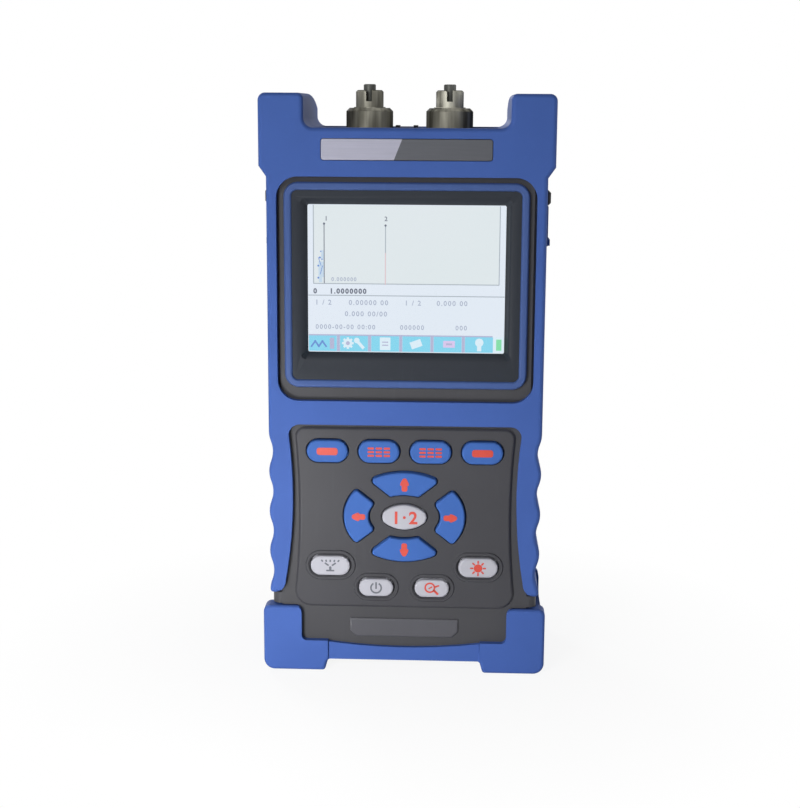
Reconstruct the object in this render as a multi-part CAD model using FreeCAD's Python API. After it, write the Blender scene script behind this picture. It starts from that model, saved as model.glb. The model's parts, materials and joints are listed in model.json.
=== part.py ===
"""Handheld optical time domain reflectometer, built as an assembly of separate solids.

Millimetres. X runs to the right, Y from the front face to the back, Z up along the instrument.
The origin is the bottom centre of the instrument as it stands on the two feet of its lower boot.
"""
import FreeCAD
import Part
import math
import os

V = FreeCAD.Vector

# ---- overall sizes -------------------------------------------------------------------------
GRIP_WIDTH = 98.4  # across the rubber jacket at the screen and the hand grips
BUMPER_STEP = 2.6  # how far the horns and the lower boot stand out beyond the grips, each side
DEPTH = 56.0
RUBBER_FACE = 2.5  # jacket over the front and back of the casing
RUBBER_SIDE = 2.8  # jacket over the sides
WALL = 2.5  # casing wall
TOUCH = 0.1  # clearance of parts that drop into an opening of the same body

FRONT = -DEPTH / 2
BACK = DEPTH / 2
HALF_GRIP = GRIP_WIDTH / 2
HALF_BUMPER = HALF_GRIP + BUMPER_STEP
CASE_FRONT = FRONT + RUBBER_FACE
CASE_BACK = BACK - RUBBER_FACE
CASE_HALF = HALF_GRIP - RUBBER_SIDE
CASE_CORNER = 7.0
CASE_EDGE = 1.6
INNER_FRONT = CASE_FRONT + WALL
INNER_BACK = CASE_BACK - WALL
INNER_HALF = CASE_HALF - WALL

# ---- heights, stacked from the feet up -----------------------------------------------------
FLOOR_RUBBER = 6.5  # lower boot under the casing
LOWER_PANEL = 18.0  # bare casing under the keypad
KEYPAD_HEIGHT = 67.5
KEYPAD_MARGIN = 1.2  # from the fascia up to the jacket
MIDDLE_BAR = 8.7  # jacket between the keypad and the screen
SCREEN_WELL = 79.5
TOP_BAR = 15.6
HORN_RISE = 13.0
BAR_RISE = 1.2  # jacket above the deck

CASE_BOTTOM = FLOOR_RUBBER
FASCIA_BOTTOM = CASE_BOTTOM + LOWER_PANEL
FASCIA_TOP = FASCIA_BOTTOM + KEYPAD_HEIGHT
PAD_TOP = FASCIA_TOP + KEYPAD_MARGIN
WELL_BOTTOM = PAD_TOP + MIDDLE_BAR
WELL_TOP = WELL_BOTTOM + SCREEN_WELL
DECK = WELL_TOP + TOP_BAR  # top of the casing, between the horns
HORN_TOP = DECK + HORN_RISE
BAR_TOP = DECK + BAR_RISE
INNER_TOP = DECK - WALL

# ---- lower boot ------------------------------------------------------------------------------
FOOT_INSIDE = 28.0
FOOT_HEIGHT = 4.3
FOOT_ROUND = 1.2
BOOT_CORNER = 4.0
BOOT_HEIGHT = 18.3  # of its arms, above the bottom of the casing
BOOT_TOP = CASE_BOTTOM + BOOT_HEIGHT
BOOT_TOP_CORNER = 2.5
BOOT_ROUND = 1.4
BOOT_BAND_STEP = 0.8
BOOT_ARM_INSIDE = 37.7
BOOT_ARM_CORNER = 2.0
BOOT_FLOOR = 5.2  # of the boot's window, above the bottom of the casing
BOOT_LEDGE = CASE_BOTTOM + BOOT_FLOOR
BOOT_BAND_END = BOOT_LEDGE - 0.5
BOOT_BAND_SAG = 1.8
BOOT_ARM_DEPTH = 7.0  # of the arms along Y, in front and behind
BOOT_SCOOP = 9.0  # how far the boot's sides drop between its front and rear arms
BOOT_SCOOP_CORNER = 4.0
BAND_HALF = 48.5  # casing band left bare between the jacket and the boot
BAND_CORNER = 3.0
BAND_GAP = 0.4

# ---- upper jacket: horns, top bar, screen surround and grips ---------------------------------
BAR_THICK = 8.0  # front and rear bars of the deck, along Y
DECK_CORNER = 2.0
HORN_INSIDE = 36.0
HORN_ROOT = 3.5
HORN_OUTER_CORNER = 2.5
HORN_INNER_CORNER = 2.0
CROWN_START = 4.0  # the horns' tops fall away from here to the back
CROWN_DROP = 4.1
FLARE = 3.7  # height of the slope from the grips' width to the bumpers' width
FLARE_DROP = 15.7  # from the deck down to the start of the flare
FLARE_LOW = DECK - FLARE_DROP
FLARE_HIGH = FLARE_LOW + FLARE
BAND_HEIGHT = 5.0  # bare casing between the boot and the jacket
JACKET_BOTTOM = BOOT_TOP + BAND_HEIGHT
JACKET_END_ROUND = 1.0
FRONT_ROUND = 1.6
BACK_ROUND = 1.8
VALLEYS = 4  # finger scallops down each grip
VALLEY_PITCH = 14.9
VALLEY_DEPTH = 1.4
VALLEY_START = 8.5  # from the jacket's bottom up to the lowest valley
VALLEY_LOWEST = JACKET_BOTTOM + VALLEY_START
WINDOW_HALF = 43.2  # opening in the jacket's back
WINDOW_RIM = 4.2
WINDOW_CORNER = 6.0

# ---- screen ----------------------------------------------------------------------------------
SCREEN_RISE = 43.4  # middle of the display above the bottom of the well
SCREEN_Z = WELL_BOTTOM + SCREEN_RISE
LCD_WIDTH = 70.08  # lit area, 4:3, 3.5 inch across the corners
LCD_HEIGHT = LCD_WIDTH * 3 / 4
LCD_CORNER = 0.6
WELL_HALF = 45.6
WELL_CORNER = 7.5
TRIM_GAP = 2.5  # dark groove between the jacket and the trim
TRIM_LIFT = 4.8  # the same below the trim
TRIM_HALF = WELL_HALF - TRIM_GAP
TRIM_BOTTOM = WELL_BOTTOM + TRIM_LIFT
TRIM_DROP = 1.9  # the same above it
TRIM_TOP = WELL_TOP - TRIM_DROP
TRIM_BAND = 2.8
TRIM_CORNER = 5.0
TRIM_EDGE = 0.8
TRIM_RISE = 2.1
BEZEL_RISE = 1.4
BEZEL_SLOPE = 2.36  # how far the sloping sides of the recess run outwards, each side
BEZEL_DEPTH = 3.9
WINDOW_THICK = 0.8
WINDOW_LAP = 3.4
PANEL_CORNER = 1.0
LCD_THICK = 4.2
LCD_LAP = 3.9

# ---- keypad ----------------------------------------------------------------------------------
SOFT_KEY = (14.8, 8.2)
SOFT_KEY_PITCH = 18.65
SOFT_KEY_MARGIN = 4.4  # from the outer soft keys to the edge of the fascia
FASCIA_TOP_HALF = 1.5 * SOFT_KEY_PITCH + SOFT_KEY[0] / 2 + SOFT_KEY_MARGIN
FASCIA_GAP = 2.1  # from the fascia to the jacket, at the sides
PAD_TOP_HALF = FASCIA_TOP_HALF + FASCIA_GAP
PAD_WAIST = 1.2  # how far the opening draws in at the arrow keys
PAD_FLARE = 1.5  # how far it widens at the bottom
PAD_CORNER = 4.0
FASCIA_FLARE = 0.4  # how far the fascia widens at the bottom
FASCIA_CORNER = 3.6
FASCIA_LOW_CORNER = 6.0
FASCIA_RISE = 1.1
FASCIA_LIP = 1.2  # how far the front of the fascia laps over the casing
FASCIA_BACK = 2.0  # depth of its plug behind the casing's face
KEY_RISE = 1.3
KEY_EDGE = 0.5
KEY_TRAVEL = 0.8
KEY_GAP = 0.35
KEY_FLANGE = 0.8
KEY_FLANGE_GAP = 0.2
KEY_FLANGE_THICK = 0.8
PLUNGER_RADIUS = 1.5
PLUNGER_LENGTH = 0.7
PLUNGER_GAP = 0.1  # left above the dome sheet when the key is down
DOME_SHEET = 0.3
KEY_BOARD = 1.6
POST_RADIUS = 2.0
POST_X = 31.5
POST_SPREAD = 6.75  # of the upper and lower posts from their middle
POST_RISE = 1.8  # of their middle, above halfway from the lower keys to the soft keys

SOFT_KEY_DROP = 8.6  # from the top of the fascia to the soft keys
SOFT_KEY_Z = FASCIA_TOP - SOFT_KEY_DROP
OK_KEY = (16.1, 9.3)
OK_KEY_END = 3.0
ARROW_DROP = 24.2  # from the soft keys to the middle of the arrow keys
ARROW_Z = SOFT_KEY_Z - ARROW_DROP
ARROW_OUTER = (22.05, 16.75)  # semi-axes of the cluster
ARROW_INNER = (13.0, 8.2)
ARROW_GAP = 2.8  # from the diagonal to each arrow key
ARROW_ANGLE = 38.0
ARROW_CORNER = 1.4
OUTER_KEY = (14.4, 7.3)
OUTER_KEY_RISE = 16.0  # above the bottom of the fascia
OUTER_KEY_PLACE = (27.0, FASCIA_BOTTOM + OUTER_KEY_RISE)
INNER_KEY = (12.6, 6.6)
INNER_KEY_RISE = 7.9
INNER_KEY_PLACE = (10.2, FASCIA_BOTTOM + INNER_KEY_RISE)
WELL_RIM_GAP = 0.9
WELL_RIM = 1.1
WELL_RIM_RISE = 0.45

# ---- plates ----------------------------------------------------------------------------------
NAMEPLATE = (59.7, 7.4)
NAMEPLATE_DROP = 6.2  # middle of the plate, below the deck
NAMEPLATE_Z = DECK - NAMEPLATE_DROP
NAMEPLATE_THICK = 0.75
NAMEPLATE_CORNER = 1.0
NAMEPLATE_SUNK = 0.05
LABEL_PLATE = (39.7, 6.9)
LABEL_HEIGHT = 10.1  # middle of the plate, above the bottom of the casing
LABEL_Z = CASE_BOTTOM + LABEL_HEIGHT
LABEL_RISE = 0.8
LABEL_CUT = 2.2
LABEL_EDGE = 0.3

# ---- optical ports ---------------------------------------------------------------------------
PORT_X = 14.5
PORT_Y = 0.0
RING_RADIUS = 8.5
RING_GAP = 0.3
RING_HEIGHT = 7.7
RING_CHAMFER = 1.2
RUNNING_FIT = 0.05
BARREL_RADIUS = 5.0
BARREL_RISE = 6.3  # above the lock ring
COLLAR_STEP = 0.7  # the barrel is thicker inside the lock ring, so that the ring turns on it
COLLAR_RADIUS = BARREL_RADIUS + COLLAR_STEP
COLLAR_RISE = 0.3
BARREL_INSIDE = 3.8
BARREL_WELL = 6.0
BARREL_FLANGE = (7.0, 2.0)
BARREL_TAIL = (4.5, 8.0)
BARREL_EDGE = 0.6
KEY_SLOT = (2.1, 4.0)
SLEEVE_RADIUS = 2.2
SLEEVE_RISE = 2.1  # above the barrel
SLEEVE_BORE = 1.25
SLEEVE_BORE_LENGTH = 10.0
SLEEVE_FOOT = 3.0
BRACKET = (52.0, 24.0, 1.5)
RING_TOP = DECK + RING_GAP + RING_HEIGHT
BARREL_TOP = RING_TOP + BARREL_RISE
SLEEVE_TOP = BARREL_TOP + SLEEVE_RISE

# ---- port covers -----------------------------------------------------------------------------
COVER_DROP = 26.0  # from the deck down to the covers' hinge lines
COVER_TOP = DECK - COVER_DROP
COVER_SET = 17.5  # middle of the covers and their sockets, behind the casing's face
COVER_Y = CASE_FRONT + COVER_SET
COVER_HEIGHT = 14.2
COVER_BOTTOM = COVER_TOP - COVER_HEIGHT
COVER_DEPTH = 17.0
COVER_THICK = 2.7
COVER_RISE = 0.9
COVER_CORNER = 1.2
COVER_TAB = (2.2, 0.9)
COVER_GAP = 0.3
RECESS_CORNER = 2.0
ANCHOR_HEIGHT = 5.6
ANCHOR_RISE = 1.7
SOCKET_Z = COVER_BOTTOM + COVER_HEIGHT / 2
SIDE_SOCKET = (5.6, 12.6)  # along Y and along Z
TONGUE_THICK = 0.8
TONGUE_SET = 1.5  # how far the contact tongue stays behind the socket's mouth
SOCKET_WALL = 1.2
SOCKET_DEPTH = 9.0
DECK_COVER = (10.6, 10.0)
DECK_COVER_THICK = 0.9
DECK_TABS = (-4.2, 2.3)
DECK_TAB = (1.6, 5.0, 0.9)
DECK_SOCKET = (7.0, 4.6)
DECK_SOCKET_DEPTH = 7.0

# ---- back: stand, battery, fasteners -----------------------------------------------------------
STAND_HALF = 27.0
STAND_DROP = 25.0  # from the deck down to the hinge line
STAND_TOP = DECK - STAND_DROP
STAND_LENGTH = 68.0
STAND_THICK = 2.0
STAND_LIFT = 0.2
STAND_LEG = 9.0
STAND_CORNER = 6.0
STAND_INSIDE_CORNER = 4.0
STAND_EDGE = 0.4
SCOOP_RADIUS = 14.0  # finger scoop under the stand's foot
SCOOP_DEPTH = 1.4
SCOOP_HALF = 9.0
HINGE_RADIUS = 1.15
HINGE_PIN = 0.8
HINGE_PIN_LENGTH = 7.0
EAR_WIDTH = 3.2
EAR_GAP = 0.3
EAR_HALF = 3.0
DOOR_HALF = 30.0
DOOR_RISE = 33.5  # above the bottom of the casing
DOOR_BOTTOM = CASE_BOTTOM + DOOR_RISE
DOOR_HEIGHT = 57.0
DOOR_TOP = DOOR_BOTTOM + DOOR_HEIGHT
DOOR_THICK = 1.6
DOOR_LAP = 2.2
DOOR_HEAD = 8.0  # extra lap at the screw
DOOR_CORNER = 4.0
DOOR_EDGE = 0.6
DOOR_GAP = 0.3
DOOR_RIBS = 5
DOOR_RIB_PITCH = 2.6
DOOR_RIB = (12.0, 1.2, 0.5)
BAY_WALL = 1.5
BAY_DEPTH = 19.0
PACK_GAP = 0.6
SCREW_INSET = 7.1  # from the casing's side
SCREW_X = CASE_HALF - SCREW_INSET
SCREW_RISE = 31.5  # lower screws above the bottom of the casing
SCREW_DROP = 11.0  # upper screws below the deck
SCREW_LOW = CASE_BOTTOM + SCREW_RISE
SCREW_HIGH = DECK - SCREW_DROP
SCREW_SHANK = 1.5
SCREW_HEAD = (2.8, 2.0)
SCREW_LENGTH = 30.0
SCREW_GAP = 0.2
SCREW_SOCKET = (1.3, 1.2)
BOSS_RADIUS = 3.6
THUMB_RADIUS = 3.8
THUMB_HEAD = 1.0
THUMB_RISE = 0.7
THUMB_SLOT = 1.2
INSERT_LENGTH = 6.0

# ---- electronics -------------------------------------------------------------------------------
BOARD_THICK = 1.6
BOARD_SET = 11.5  # behind the casing's face
BOARD_Y = CASE_FRONT + BOARD_SET
BOARD_DROP = 16.0  # from the deck down to the board's top edge
BOARD_HEIGHT = 81.0
BOARD_TOP = DECK - BOARD_DROP
BOARD_BOTTOM = BOARD_TOP - BOARD_HEIGHT
BOARD_HALF = INNER_HALF - 0.7
STANDOFF_X = BOARD_HALF - 1.6
STANDOFF_INSET = 3.8
STANDOFF_RADIUS = 2.6
CHIPS = ((-23.0, 14.0, 14.0), (1.0, 18.0, 10.0), (22.0, 12.0, 12.0))  # x, width and height
CHIP_RISE = 1.6
CHIP_LINE = 12.0  # above the board's bottom edge
OPTICS = (60.0, 16.0, 52.0)
OPTICS_INSET = 3.0
OPTICS_EDGE = 0.8
COIL_RADIUS = 22.0
COIL_BAND = 5.0
COIL_THICK = 4.0
BUZZER = (6.0, 3.5)
BUZZER_X = 36.0


# ---- drawing helpers ---------------------------------------------------------------------------
def on_front(y):
    """Maps a point (x, z) of a front view to the plane at y."""
    return lambda a, b: V(a, y, b)


def on_side(x):
    """Maps a point (y, z) of a side view to the plane at x."""
    return lambda a, b: V(x, a, b)


def on_plan(z):
    """Maps a point (x, y) of a plan view to the plane at z."""
    return lambda a, b: V(a, b, z)


def outline(corners, place):
    """Closed face through (a, b, radius) corners, each rounded by an arc of its own radius."""
    starts = []
    ends = []
    middles = []
    count = len(corners)
    for i, (a, b, radius) in enumerate(corners):
        point = V(a, b, 0)
        before = V(*corners[i - 1][:2], 0) - point
        after = V(*corners[(i + 1) % count][:2], 0) - point
        before.normalize()
        after.normalize()
        half = math.acos(max(-1.0, min(1.0, before.dot(after)))) / 2
        reach = radius / math.tan(half)
        starts.append(point + before * reach)
        ends.append(point + after * reach)
        bisector = before + after
        bisector.normalize()
        middles.append(point + bisector * (radius / math.sin(half) - radius))
    edges = []
    for i in range(count):
        here = [place(p.x, p.y) for p in (starts[i], middles[i], ends[i])]
        if corners[i][2] > 0:
            edges.append(Part.Arc(*here).toShape())
        following = starts[(i + 1) % count]
        if (following - ends[i]).Length > 1e-6:
            edges.append(Part.LineSegment(here[2], place(following.x, following.y)).toShape())
    return Part.Face(Part.Wire(edges))


def mirrored_face(half_edges):
    """Closed face from the right half of a symmetric outline that starts and ends on X = 0."""
    left = [edge.mirror(V(0, 0, 0), V(1, 0, 0)) for edge in half_edges]
    return Part.Face(Part.Wire(Part.sortEdges(half_edges + left)[0]))


def rectangle(half_a, low_b, high_b, radius, place, middle_a=0.0):
    """Rounded rectangle, symmetric about middle_a."""
    corners = [
        (middle_a - half_a, low_b, radius),
        (middle_a + half_a, low_b, radius),
        (middle_a + half_a, high_b, radius),
        (middle_a - half_a, high_b, radius),
    ]
    return outline(corners, place)


def pill(size, centre):
    """Front-view face at y = 0 of an oval with straight sides and round ends."""
    place = on_front(0)
    x, z = centre
    radius = size[1] / 2
    straight = size[0] / 2 - radius
    low = z - radius
    high = z + radius
    edges = [
        Part.LineSegment(place(x - straight, low), place(x + straight, low)).toShape(),
        Part.Arc(place(x + straight, low), place(x + straight + radius, z), place(x + straight, high)).toShape(),
        Part.LineSegment(place(x + straight, high), place(x - straight, high)).toShape(),
        Part.Arc(place(x - straight, high), place(x - straight - radius, z), place(x - straight, low)).toShape(),
    ]
    return Part.Face(Part.Wire(edges))


def oval(size, end_radius, centre):
    """Front-view face at y = 0 of a four-arc oval that is round all the way."""
    place = on_front(0)
    x, z = centre
    half = size[0] / 2
    high = size[1] / 2
    side = half - end_radius
    flat_radius = (side**2 + high**2 - end_radius**2) / (2 * (high - end_radius))
    reach = flat_radius - end_radius
    touch_x = side + end_radius * side / reach
    touch_z = end_radius * (flat_radius - high) / reach
    corners = [(touch_x, -touch_z), (touch_x, touch_z), (-touch_x, touch_z), (-touch_x, -touch_z)]
    middles = [(half, 0), (0, high), (-half, 0), (0, -high)]
    edges = []
    for i in range(4):
        a = corners[i]
        b = middles[i]
        c = corners[(i + 1) % 4]
        edges.append(Part.Arc(*[place(x + p[0], z + p[1]) for p in (a, b, c)]).toShape())
    return Part.Face(Part.Wire(edges))


def block(x0, x1, y0, y1, z0, z1):
    """Plain box between two corners."""
    return Part.makeBox(x1 - x0, y1 - y0, z1 - z0, V(x0, y0, z0))


def rod(radius, start, end):
    """Cylinder from one point to another."""
    axis = end - start
    return Part.makeCylinder(radius, axis.Length, start, axis)


def along_y(face, length):
    """Extrudes a front-view face towards the back."""
    return face.extrude(V(0, length, 0))


def rim(shape, axis, value):
    """Edges of a shape that lie in the plane where one coordinate has a value."""
    found = []
    for edge in shape.Edges:
        box = edge.BoundBox
        low = getattr(box, axis + "Min")
        high = getattr(box, axis + "Max")
        if abs(low - value) < 1e-4 and abs(high - value) < 1e-4:
            found.append(edge)
    return found


def fused(shapes):
    """One clean solid from shapes that touch or overlap."""
    whole = shapes[0]
    if len(shapes) > 1:
        whole = shapes[0].multiFuse(shapes[1:])
    return whole.removeSplitter()


def line(a, b):
    """Straight edge of a front view, from (x, z) to (x, z)."""
    place = on_front(FRONT)
    return Part.LineSegment(place(*a), place(*b)).toShape()


def arc(a, middle, b):
    """Round edge of a front view through three (x, z) points."""
    place = on_front(FRONT)
    return Part.Arc(place(*a), place(*middle), place(*b)).toShape()


def corner_arc(a, b, centre, radius):
    """Quarter-round edge from a to b about a centre."""
    toward = V(a[0] + b[0] - 2 * centre[0], 0, a[1] + b[1] - 2 * centre[1])
    toward.normalize()
    middle = (centre[0] + toward.x * radius, centre[1] + toward.z * radius)
    return arc(a, middle, b)


# ---- upper jacket ------------------------------------------------------------------------------
def scallops():
    """Right edge of the grip, from the jacket's lower corner up to the plain side.

    Each valley and each peak is one arc. Both have the same radius and meet where they are
    parallel, so the wave has no corners.
    """
    quarter = VALLEY_PITCH / 4
    rise = VALLEY_DEPTH / 2
    radius = (quarter**2 + rise**2) / (2 * rise)
    half_turn = math.asin(quarter / radius) / 2
    lift = radius * math.sin(half_turn)
    drop = radius * (1 - math.cos(half_turn))
    middle = HALF_GRIP - rise
    valley_bottom = HALF_GRIP - VALLEY_DEPTH
    start = VALLEY_LOWEST - 2 * quarter
    edges = []
    edges.append(arc((HALF_GRIP, start), (HALF_GRIP - drop, start + lift), (middle, start + quarter)))
    for i in range(VALLEYS):
        z = VALLEY_LOWEST + i * VALLEY_PITCH
        edges.append(arc((middle, z - quarter), (valley_bottom, z), (middle, z + quarter)))
        peak = z + 2 * quarter
        if i < VALLEYS - 1:
            edges.append(arc((middle, z + quarter), (HALF_GRIP, peak), (middle, peak + quarter)))
        else:
            edges.append(arc((middle, z + quarter), (HALF_GRIP - drop, peak - lift), (HALF_GRIP, peak)))
    return edges, start, VALLEY_LOWEST + (VALLEYS - 1) * VALLEY_PITCH + 2 * quarter


def jacket_outline():
    """Front view of the upper jacket, with the horns and the grips."""
    wave, wave_start, wave_end = scallops()
    low = JACKET_BOTTOM
    turn = wave_start - low
    edges = [line((0, low), (HALF_GRIP - turn, low))]
    edges.append(corner_arc((HALF_GRIP - turn, low), (HALF_GRIP, wave_start),
                            (HALF_GRIP - turn, wave_start), turn))
    edges += wave
    edges.append(line((HALF_GRIP, wave_end), (HALF_GRIP, FLARE_LOW)))
    edges.append(line((HALF_GRIP, FLARE_LOW), (HALF_BUMPER, FLARE_HIGH)))
    edges.append(line((HALF_BUMPER, FLARE_HIGH), (HALF_BUMPER, HORN_TOP)))
    edges.append(line((HALF_BUMPER, HORN_TOP), (HORN_INSIDE, HORN_TOP)))
    edges.append(line((HORN_INSIDE, HORN_TOP), (HORN_INSIDE, BAR_TOP + HORN_ROOT)))
    root = HORN_INSIDE - HORN_ROOT
    edges.append(corner_arc((HORN_INSIDE, BAR_TOP + HORN_ROOT), (root, BAR_TOP),
                            (root, BAR_TOP + HORN_ROOT), HORN_ROOT))
    edges.append(line((root, BAR_TOP), (0, BAR_TOP)))
    return mirrored_face(edges)


def keypad_opening():
    """Front view of the opening in the jacket for the keypad, open at the bottom."""
    corner = PAD_CORNER
    low_half = PAD_TOP_HALF + PAD_FLARE
    low_z = JACKET_BOTTOM + HALF_GRIP - low_half - JACKET_END_ROUND
    flare = HALF_GRIP - JACKET_END_ROUND - low_half
    below = JACKET_BOTTOM - BAND_HEIGHT
    edges = [line((0, PAD_TOP), (PAD_TOP_HALF - corner, PAD_TOP))]
    edges.append(corner_arc((PAD_TOP_HALF - corner, PAD_TOP), (PAD_TOP_HALF, PAD_TOP - corner),
                            (PAD_TOP_HALF - corner, PAD_TOP - corner), corner))
    edges.append(arc((PAD_TOP_HALF, PAD_TOP - corner), (PAD_TOP_HALF - PAD_WAIST, ARROW_Z),
                     (low_half, low_z)))
    end = JACKET_BOTTOM
    edges.append(corner_arc((low_half, low_z), (low_half + flare, end), (low_half + flare, low_z), flare))
    edges.append(line((low_half + flare, end), (low_half + flare, below)))
    edges.append(line((low_half + flare, below), (0, below)))
    return mirrored_face(edges)


def casing_envelope(shrink=0.0):
    """Outer form of the two casings together, or the form inside their walls."""
    half = CASE_HALF - shrink
    low = CASE_BOTTOM + shrink
    high = DECK - shrink
    front = CASE_FRONT + shrink
    corner = CASE_CORNER - shrink
    form = along_y(rectangle(half, low, high, corner, on_front(front)), CASE_BACK - shrink - front)
    if shrink == 0.0:
        edges = rim(form, "Y", CASE_FRONT) + rim(form, "Y", CASE_BACK)
        form = form.makeChamfer(CASE_EDGE, edges)
    return form


def cover_recess(side):
    """Space in the jacket's side for a port cover and its anchor; side is -1 or 1."""
    half = COVER_DEPTH / 2 + COVER_GAP
    low = COVER_BOTTOM - COVER_GAP
    high = COVER_TOP + ANCHOR_HEIGHT + COVER_GAP
    face = rectangle(half, low, high, RECESS_CORNER, on_side(side * CASE_HALF - side))
    face.translate(V(0, COVER_Y, 0))
    return face.extrude(V(side * (RUBBER_SIDE + 5), 0, 0))


def horn_crown():
    """What the crowned tops of the horns leave out, towards the back."""
    place = on_side(-HALF_BUMPER - 1)
    run = BACK - CROWN_START
    radius = (run**2 + CROWN_DROP**2) / (2 * CROWN_DROP)
    halfway = math.asin(run / radius) / 2
    middle = (CROWN_START + radius * math.sin(halfway), HORN_TOP - radius * (1 - math.cos(halfway)))
    low = (BACK, HORN_TOP - CROWN_DROP)
    curve = Part.Arc(place(CROWN_START, HORN_TOP), place(*middle), place(*low)).toShape()
    path = [low, (BACK + 1, low[1]), (BACK + 1, HORN_TOP + 1), (CROWN_START, HORN_TOP + 1), (CROWN_START, HORN_TOP)]
    edges = [curve]
    for a, b in zip(path, path[1:]):
        edges.append(Part.LineSegment(place(*a), place(*b)).toShape())
    return Part.Face(Part.Wire(edges)).extrude(V(2 * HALF_BUMPER + 2, 0, 0))


def horn_edges(body, x):
    """Edges that run from front to back along the tops of both horns, at x and -x."""
    low = HORN_TOP - CROWN_DROP - 0.1
    found = []
    for edge in rim(body, "X", x) + rim(body, "X", -x):
        if edge.BoundBox.ZMin > low and edge.BoundBox.YLength > 5:
            found.append(edge)
    return found


def upper_jacket(envelope):
    """Rubber jacket: one moulding with scalloped grips, screen surround, bars and horns."""
    body = along_y(jacket_outline(), DEPTH).removeSplitter().cut(horn_crown())
    body = body.makeFillet(HORN_OUTER_CORNER, horn_edges(body, HALF_BUMPER))
    body = body.makeFillet(HORN_INNER_CORNER, horn_edges(body, HORN_INSIDE))
    body = body.makeFillet(FRONT_ROUND, rim(body, "Y", FRONT))
    body = body.makeFillet(BACK_ROUND, rim(body, "Y", BACK))
    screen = rectangle(WELL_HALF, WELL_BOTTOM, WELL_TOP, WELL_CORNER, on_front(FRONT - 1))
    window = rectangle(WINDOW_HALF, JACKET_BOTTOM + WINDOW_RIM, BAR_TOP - 2 * WINDOW_RIM, WINDOW_CORNER,
                       on_front(CASE_BACK - CASE_EDGE))
    deck = outline(
        [
            (-HORN_INSIDE + HORN_ROOT, FRONT + BAR_THICK, DECK_CORNER),
            (HORN_INSIDE - HORN_ROOT, FRONT + BAR_THICK, DECK_CORNER),
            (HORN_INSIDE - HORN_ROOT, BACK - BAR_THICK, DECK_CORNER),
            (-HORN_INSIDE + HORN_ROOT, BACK - BAR_THICK, DECK_CORNER),
        ],
        on_plan(DECK - 1),
    )
    keypad = keypad_opening()
    keypad.translate(V(0, -1, 0))
    body = body.cut(envelope)
    cuts = [
        along_y(screen, RUBBER_FACE + CASE_EDGE + 1),
        along_y(window, RUBBER_FACE + CASE_EDGE + 1),
        deck.extrude(V(0, 0, HORN_TOP)),
        along_y(keypad, RUBBER_FACE + CASE_EDGE + 1),
        cover_recess(-1),
        cover_recess(1),
        nameplate_seat(),
    ]
    for cut in cuts:
        body = body.cut(cut)
    return body


def nameplate_seat():
    """Shallow pocket in the top bar that the nameplate is stuck into."""
    half = NAMEPLATE[0] / 2 + TOUCH
    low = NAMEPLATE_Z - NAMEPLATE[1] / 2 - TOUCH
    high = NAMEPLATE_Z + NAMEPLATE[1] / 2 + TOUCH
    face = rectangle(half, low, high, NAMEPLATE_CORNER + TOUCH, on_front(FRONT - 1))
    return along_y(face, 1 + NAMEPLATE_SUNK + NAMEPLATE_THICK)


def nameplate():
    """Thin plate in the top bar."""
    half = NAMEPLATE[0] / 2
    low = NAMEPLATE_Z - NAMEPLATE[1] / 2
    high = NAMEPLATE_Z + NAMEPLATE[1] / 2
    face = rectangle(half, low, high, NAMEPLATE_CORNER, on_front(FRONT + NAMEPLATE_SUNK))
    return along_y(face, NAMEPLATE_THICK)


# ---- lower boot --------------------------------------------------------------------------------
def boot_window(y):
    """Front view of the opening above the boot's band, between its arms."""
    place = on_front(y)
    middle = BOOT_BAND_END - BOOT_BAND_SAG
    arm = BOOT_ARM_INSIDE
    corner = BOOT_ARM_CORNER
    turn = BOOT_TOP_CORNER
    lean = 1 - math.sqrt(0.5)
    arcs = [
        ((0, middle), (FOOT_INSIDE / 2, middle + BOOT_BAND_SAG / 4), (FOOT_INSIDE, BOOT_BAND_END)),
        ((arm - corner, BOOT_LEDGE), (arm - corner * lean, BOOT_LEDGE + corner * lean), (arm, BOOT_LEDGE + corner)),
        ((arm, BOOT_TOP - turn), (arm + turn * lean, BOOT_TOP - turn * lean), (arm + turn, BOOT_TOP)),
    ]
    lines = [
        ((FOOT_INSIDE, BOOT_BAND_END), (FOOT_INSIDE, BOOT_LEDGE)),
        ((FOOT_INSIDE, BOOT_LEDGE), (arm - corner, BOOT_LEDGE)),
        ((arm, BOOT_LEDGE + corner), (arm, BOOT_TOP - turn)),
        ((arm + turn, BOOT_TOP), (arm + turn, BOOT_TOP + turn)),
        ((arm + turn, BOOT_TOP + turn), (0, BOOT_TOP + turn)),
    ]
    edges = [Part.Arc(*[place(*point) for point in points]).toShape() for points in arcs]
    edges += [Part.LineSegment(place(*a), place(*b)).toShape() for a, b in lines]
    return mirrored_face(edges)


def boot_scoop():
    """What the boot's sides leave out between its front and rear arms."""
    edge = DEPTH / 2 - BOOT_ARM_DEPTH
    low = BOOT_TOP - BOOT_SCOOP
    corners = [
        (-edge, BOOT_TOP + 1, 0),
        (-edge + BOOT_SCOOP_CORNER / 2, low, BOOT_SCOOP_CORNER),
        (edge - BOOT_SCOOP_CORNER / 2, low, BOOT_SCOOP_CORNER),
        (edge, BOOT_TOP + 1, 0),
    ]
    return outline(corners, on_side(-HALF_BUMPER - 1)).extrude(V(2 * HALF_BUMPER + 2, 0, 0))


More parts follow.
